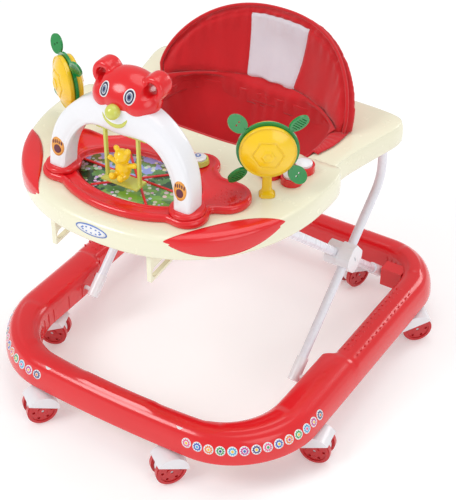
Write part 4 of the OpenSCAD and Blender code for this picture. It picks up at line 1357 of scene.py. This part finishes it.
# %% Puffing a pad by simulation
def puffed(obj, pressure, cap, voxel=0.005, frames=20):
    """Inflates a closed pad with the cloth solver and keeps how far each point may move."""
    remesh = obj.modifiers.new("even_mesh", "REMESH")
    remesh.mode = "VOXEL"
    remesh.voxel_size = voxel
    settled(obj)
    start = np.array([v.co for v in obj.data.vertices])
    scene = bpy.context.scene
    cloth_ = obj.modifiers.new("puff", "CLOTH")
    cloth_.settings.use_pressure = True
    cloth_.settings.uniform_pressure_force = pressure
    cloth_.settings.effector_weights.gravity = 0
    cloth_.settings.quality = 5
    cloth_.point_cache.frame_start = 1
    cloth_.point_cache.frame_end = frames
    for f in range(1, frames + 1):
        scene.frame_set(f)
    settled(obj)
    scene.frame_set(1)
    shift = np.array([v.co for v in obj.data.vertices]) - start
    size = np.linalg.norm(shift, axis=1)
    shift *= np.minimum(1, cap / np.maximum(size, 1e-9))[:, None]
    obj.data.vertices.foreach_set("co", (start + shift).ravel())
    obj.data.update()
    print(f"{obj.name} puffed by up to {min(size.max(), cap) * 1000:.1f} mm")
    return obj


puffed(seat_back, 4.0, 0.005)
subdivide = seat_back.modifiers.new("finer", "SUBSURF")
subdivide.levels = subdivide.render_levels = 1
settled(seat_back)
print("seat back", len(seat_back.data.vertices), "points")

# %% [markdown]
# The seams are pressed in by moving points a few millimetres along the pad's depth: one
# beside the rim, two beside the white middle panel, and the gathers that run down from
# them. Where the white cloth starts is stored on the points as a distance, and the shader
# cuts it at nought, so the line between the two cloths is sharp without any extra mesh.

# %% Seams and gathers
PANEL_HALF, PANEL_FOOT_Z, RIM_BAND = 56, 463, 15


def back_coordinates(points):
    x, y, z = points[:, 0] / MM, points[:, 1] / MM, points[:, 2] / MM
    angle = np.arctan2(x, y - BACK_CENTRE_Y)
    depth = BACK_R + BACK_LEAN * (z - BACK_LOW) - np.hypot(x, y - BACK_CENTRE_Y)
    return angle, depth, z


points = np.array([v.co for v in seat_back.data.vertices])
angle, depth, z = back_coordinates(points)
arc_x = angle * BACK_R
front = edge(depth - 9, 5)
below_rim = crown_at(BACK_R * np.sin(angle)) - z
panel_edge = PANEL_HALF * (0.95 + 0.05 * (z - PANEL_FOOT_Z) / 70)
press = 2.8 * np.exp(-((np.abs(arc_x) - panel_edge) / 2.6) ** 2) * edge(z - PANEL_FOOT_Z, 6)
press = press + 2.6 * np.exp(-((below_rim - RIM_BAND) / 2.6) ** 2) * edge(z - PANEL_FOOT_Z, 8)
press = press + 2.0 * np.exp(-((z - PANEL_FOOT_Z) / 2.4) ** 2)
wander = np.sin(arc_x * 0.021 + 0.7) + 0.6 * np.sin(arc_x * 0.047 + z * 0.012)
tucks = np.sin(arc_x * 0.30 + 2.0 * wander) * np.exp(-((below_rim - RIM_BAND) / 20) ** 2)
near_foot = np.exp(-((z - PANEL_FOOT_Z) / 34) ** 2)
pulls = np.sin(arc_x * 0.115 + 1.4 * wander + z * 0.01) * (0.4 + 0.6 * near_foot)
broad = np.sin(arc_x * 0.05 + z * 0.035) * np.sin(z * 0.03 - arc_x * 0.012)
press = press + (1.0 * tucks + 1.3 * pulls + 1.5 * broad) * edge(below_rim - 4, 6)
outward_way = np.column_stack([np.sin(angle), np.cos(angle), np.full(len(angle), -BACK_LEAN)])
points = points + outward_way * (press * front * MM)[:, None]
seat_back.data.vertices.foreach_set("co", points.ravel())
white_by = np.minimum(np.minimum(panel_edge - np.abs(arc_x), z - PANEL_FOOT_Z), below_rim - RIM_BAND)
white_by = np.where(depth > 6, white_by, -20)
mask = seat_back.data.attributes.new("white_by", "FLOAT", "POINT")
mask.data.foreach_set("value", white_by.astype(np.float32))


# %% Two-cloth material
def two_cloths():
    material = cloth("seat_back_cloth", (0.76, 0.012, 0.020), (0.50, 0.005, 0.010))
    tree = material.node_tree
    group = next(n for n in tree.nodes if n.type == "GROUP")
    read = add(tree, "ShaderNodeAttribute", attribute_name="white_by")
    is_white = maths(tree, "GREATER_THAN", read.outputs["Fac"], 0.0)
    stitch = maths(tree, "LESS_THAN", maths(tree, "ABSOLUTE", read.outputs["Fac"]), 0.45)
    for label, red, pale in (("Color", (0.76, 0.012, 0.020, 1), (0.84, 0.82, 0.87, 1)),
                             ("Shade", (0.50, 0.005, 0.010, 1), (0.70, 0.66, 0.74, 1))):
        plain = mix_colour(tree, is_white, red, pale)
        tree.links.new(mix_colour(tree, maths(tree, "MULTIPLY", stitch, 0.5), plain, (0.45, 0.10, 0.12, 1)),
                       group.inputs[label])
    return material


dress(seat_back, two_cloths(), "tray", ["seat_back_pad"])

# %% Piping round the rim
rim_angles = np.linspace(-half_angle, half_angle, 140)
end_top = rim_at(half_angle) - 2
end_left = [back_at(-half_angle, z_, BACK_T + 4) * MM for z_ in np.linspace(BACK_LOW + 2, end_top, 5)]
end_right = [back_at(half_angle, z_, BACK_T + 4) * MM for z_ in np.linspace(end_top, BACK_LOW + 2, 5)]
rim_line = [back_at(a, rim_at(a) - 1.0, BACK_T + 4) * MM for a in rim_angles]
piping = tube_along("seat_back_piping", end_left + rim_line + end_right, 0.0030, sides=12)
dress(piping, RED_CLOTH, "tray")

# %% [markdown]
# ## The sling and its skirt
# The sling is one shell that hangs in the tray's hole. It is drawn as rings from the rim
# down to the crotch, wrinkled more where it gathers, with leg holes cut through and bound.
# Its upper edge laps over the arms as flaps, and an apron joins it to the padded back.

# %% Reach of the seat hole
def reach_of(outline, centre):
    """Radius of a star-shaped outline for any direction (angle from +Y towards +X)."""
    offset = outline - np.asarray(centre)
    a = np.arctan2(offset[:, 0], offset[:, 1])
    order = np.argsort(a)
    a, r = a[order], np.hypot(offset[:, 0], offset[:, 1])[order]
    a, r = np.concatenate([a - 2 * math.pi, a, a + 2 * math.pi]), np.tile(r, 3)
    return lambda t: np.interp(t, a, r)


SLING_MIDDLE = (0.0, 55.0)
hole_reach = reach_of(tray_hole, SLING_MIDDLE)
hole_from_back = reach_of(tray_hole, (0.0, BACK_CENTRE_Y))

# %% Sling
POUCH_TOP = DECK - ARM_DROP - 8
sling_levels = np.array([(0, 153, 96), (20, 151, 94), (46, 146, 91), (70, 139, 86), (100, 127, 78),
                         (130, 113, 69), (150, 98, 59), (165, 80, 47), (173, 62, 35), (176, 38, 19),
                         (176.5, 8, 3)], float)
sling_turns = np.linspace(0, 2 * math.pi, 180, endpoint=False)


def sling_ring(s):
    steps = np.arange(len(sling_levels))
    depth_, half_x, half_y = (np.interp(s, steps, sling_levels[:, k]) for k in range(3))
    way = np.column_stack([np.sin(sling_turns), np.cos(sling_turns)])
    round_reach = 1 / np.hypot(way[:, 0] / half_x, way[:, 1] / half_y)
    near_rim = math.exp(-(depth_ / 55) ** 2)
    reach_ = (hole_reach(sling_turns) - 6) * near_rim + round_reach * (1 - near_rim)
    reach_ = np.minimum(reach_, hole_reach(sling_turns) - 5.5)
    gathers = 1.5 * np.sin(sling_turns * 23 + 1.8 * np.sin(sling_turns * 5)) * math.exp(-depth_ / 50)
    folds = 2.4 * np.sin(sling_turns * 7 + depth_ * 0.02) * math.sin(depth_ / 177 * math.pi)
    reach_ = reach_ - 2 - gathers - folds
    y = SLING_MIDDLE[1] + way[:, 1] * reach_
    rise = 24 * smoothstep((-y - 4) / 32) * near_rim
    return np.column_stack([way[:, 0] * reach_, y, POUCH_TOP - depth_ + rise]) * MM


skin = np.array([sling_ring(s) for s in np.linspace(0, len(sling_levels) - 1, 66)])
verts = skin.reshape(-1, 3)
kept = []
for f in ring_faces(len(skin), len(sling_turns)):
    c = verts[list(f)].mean(axis=0) / MM
    in_leg = ((abs(c[0]) - 80) / 40) ** 2 + ((POUCH_TOP - c[2] - 112) / 44) ** 2 < 1 and c[1] < 48
    if not in_leg:
        kept.append(f)
sling = new_object("seat_sling", verts, kept)
open_mesh = bmesh.new()
open_mesh.from_mesh(sling.data)
bmesh.ops.delete(open_mesh, geom=[v for v in open_mesh.verts if not v.link_faces], context="VERTS")
foot_edges = [e for e in open_mesh.edges if e.is_boundary and e.verts[0].co.z < (POUCH_TOP - 175.5) * MM]
bmesh.ops.holes_fill(open_mesh, edges=foot_edges, sides=0)
leg_rim = [v for v in open_mesh.verts if v.is_boundary and v.co.z < (POUCH_TOP - 20) * MM]
for _ in range(4):
    bmesh.ops.smooth_vert(open_mesh, verts=leg_rim, factor=0.5,
                          use_axis_x=True, use_axis_y=True, use_axis_z=True)
leg_points = [tuple(v.co) for v in leg_rim]
open_mesh.to_mesh(sling.data)
open_mesh.free()
wall_ = sling.modifiers.new("cloth", "SOLIDIFY")
wall_.thickness = 0.0022
wall_.offset = 1
settled(sling)
outward(sling)
dress(sling, RED_CLOTH, "tray", ["seat_pouch"])

# %% Bindings round the leg holes
bindings = []
for m in (-1, 1):
    rim_points = np.array([p for p in leg_points if p[0] * m > 0])
    centre = rim_points.mean(axis=0)
    around = np.arctan2(rim_points[:, 2] - centre[2], (rim_points[:, 0] - centre[0]) * m)
    loop_ = rim_points[np.argsort(around)]
    for _ in range(3):
        loop_ = (np.roll(loop_, 1, axis=0) + 2 * loop_ + np.roll(loop_, -1, axis=0)) / 4
    bindings.append(tube_along(f"binding_{m}", loop_, 0.0030, sides=10, closed=True))
binding = joined("leg_hole_bindings", bindings)
dress(binding, RED_CLOTH, "tray")


# %% Skirt of the sling over the tray's edge
def skirt_section(i):
    """From inside the hole, over the edge, to a hem on the deck; it laps most at the arms."""
    hole, outer = tray_hole[i], tray_outer[i]
    away = (outer - hole) / np.linalg.norm(outer - hole)
    x, y = hole
    flap = (12 + 17 * (y - 36) / 78) * float(band(y, 35, 117, 7)) * (abs(x) > 100)
    behind = float(smoothstep((y - 116) / 16))
    lap = flap * (1 - behind) + 16 * behind
    over = float(smoothstep((y - 14) / 22))
    lift = 1.2 + 1.6 * abs(math.sin(i * 0.9)) * over * (1 - behind)
    profile = [(-9.5, -24), (-6, -10), (-4.2, -3), (-3 + 2 * over, -5 + (6.5 + lift) * over),
               (2 * over + lap * 0.4 - 2.6 * (1 - over), (2.6 + lift) * over - 7 * (1 - over)),
               (lap + 1.5 * over - 2.4 * (1 - over), (1.6 + lift * 0.6) * over - 9 * (1 - over))]
    profile = evenly(ease_open(np.array(profile, float), 2), 18)
    run = np.gradient(profile, axis=0)
    normal = np.column_stack([run[:, 1], -run[:, 0]])
    normal /= np.maximum(np.linalg.norm(normal, axis=1), 1e-6)[:, None]
    section = np.vstack([profile - normal * 0.9, (profile + normal * 1.1)[::-1]])
    q = hole + away * section[:, :1]
    return np.column_stack([q, float(deck_at(y)) + section[:, 1]]) * MM


skirt_piece = loft("seat_skirt", [skirt_section(i) for i in range(len(tray_hole))], loop=True)
dress(skirt_piece, RED_CLOTH, "tray")

# %% Apron from the sling up to the padded back
apron_rings = []
for a in np.linspace(-half_angle * 0.99, half_angle * 0.99, 150):
    start_z = min(BACK_LOW + 8.0, rim_at(a) - 5)
    face = float(front_depth(start_z))
    toward = np.array([math.sin(a), math.cos(a)])
    lip = np.array([0, BACK_CENTRE_Y]) + toward * (float(hole_from_back(a)) - 4)
    wave = 1.6 * math.sin(a * 27 + 2.2 * math.sin(a * 6)) + 0.9 * math.sin(a * 61)
    line = [back_at(a, start_z + 1.5, face - 1.5), back_at(a, start_z - 2, face + 2.2 + 0.4 * wave)]
    line += [[*(lip - toward * (0.5 + 0.5 * wave)), BACK_LOW + 1],
             [*(lip - toward * (3.0 + 0.8 * wave)), BACK_LOW - 12], [*(lip - toward * 4.5), BACK_LOW - 32]]
    line = evenly(ease_open(np.array(line, float), 2), 20)
    off = np.array([*(toward * 0.8), 0.5])
    apron_rings.append(np.vstack([line - off, (line + off)[::-1]]) * MM)
apron = loft("seat_apron", apron_rings)
dress(apron, RED_CLOTH, "tray")
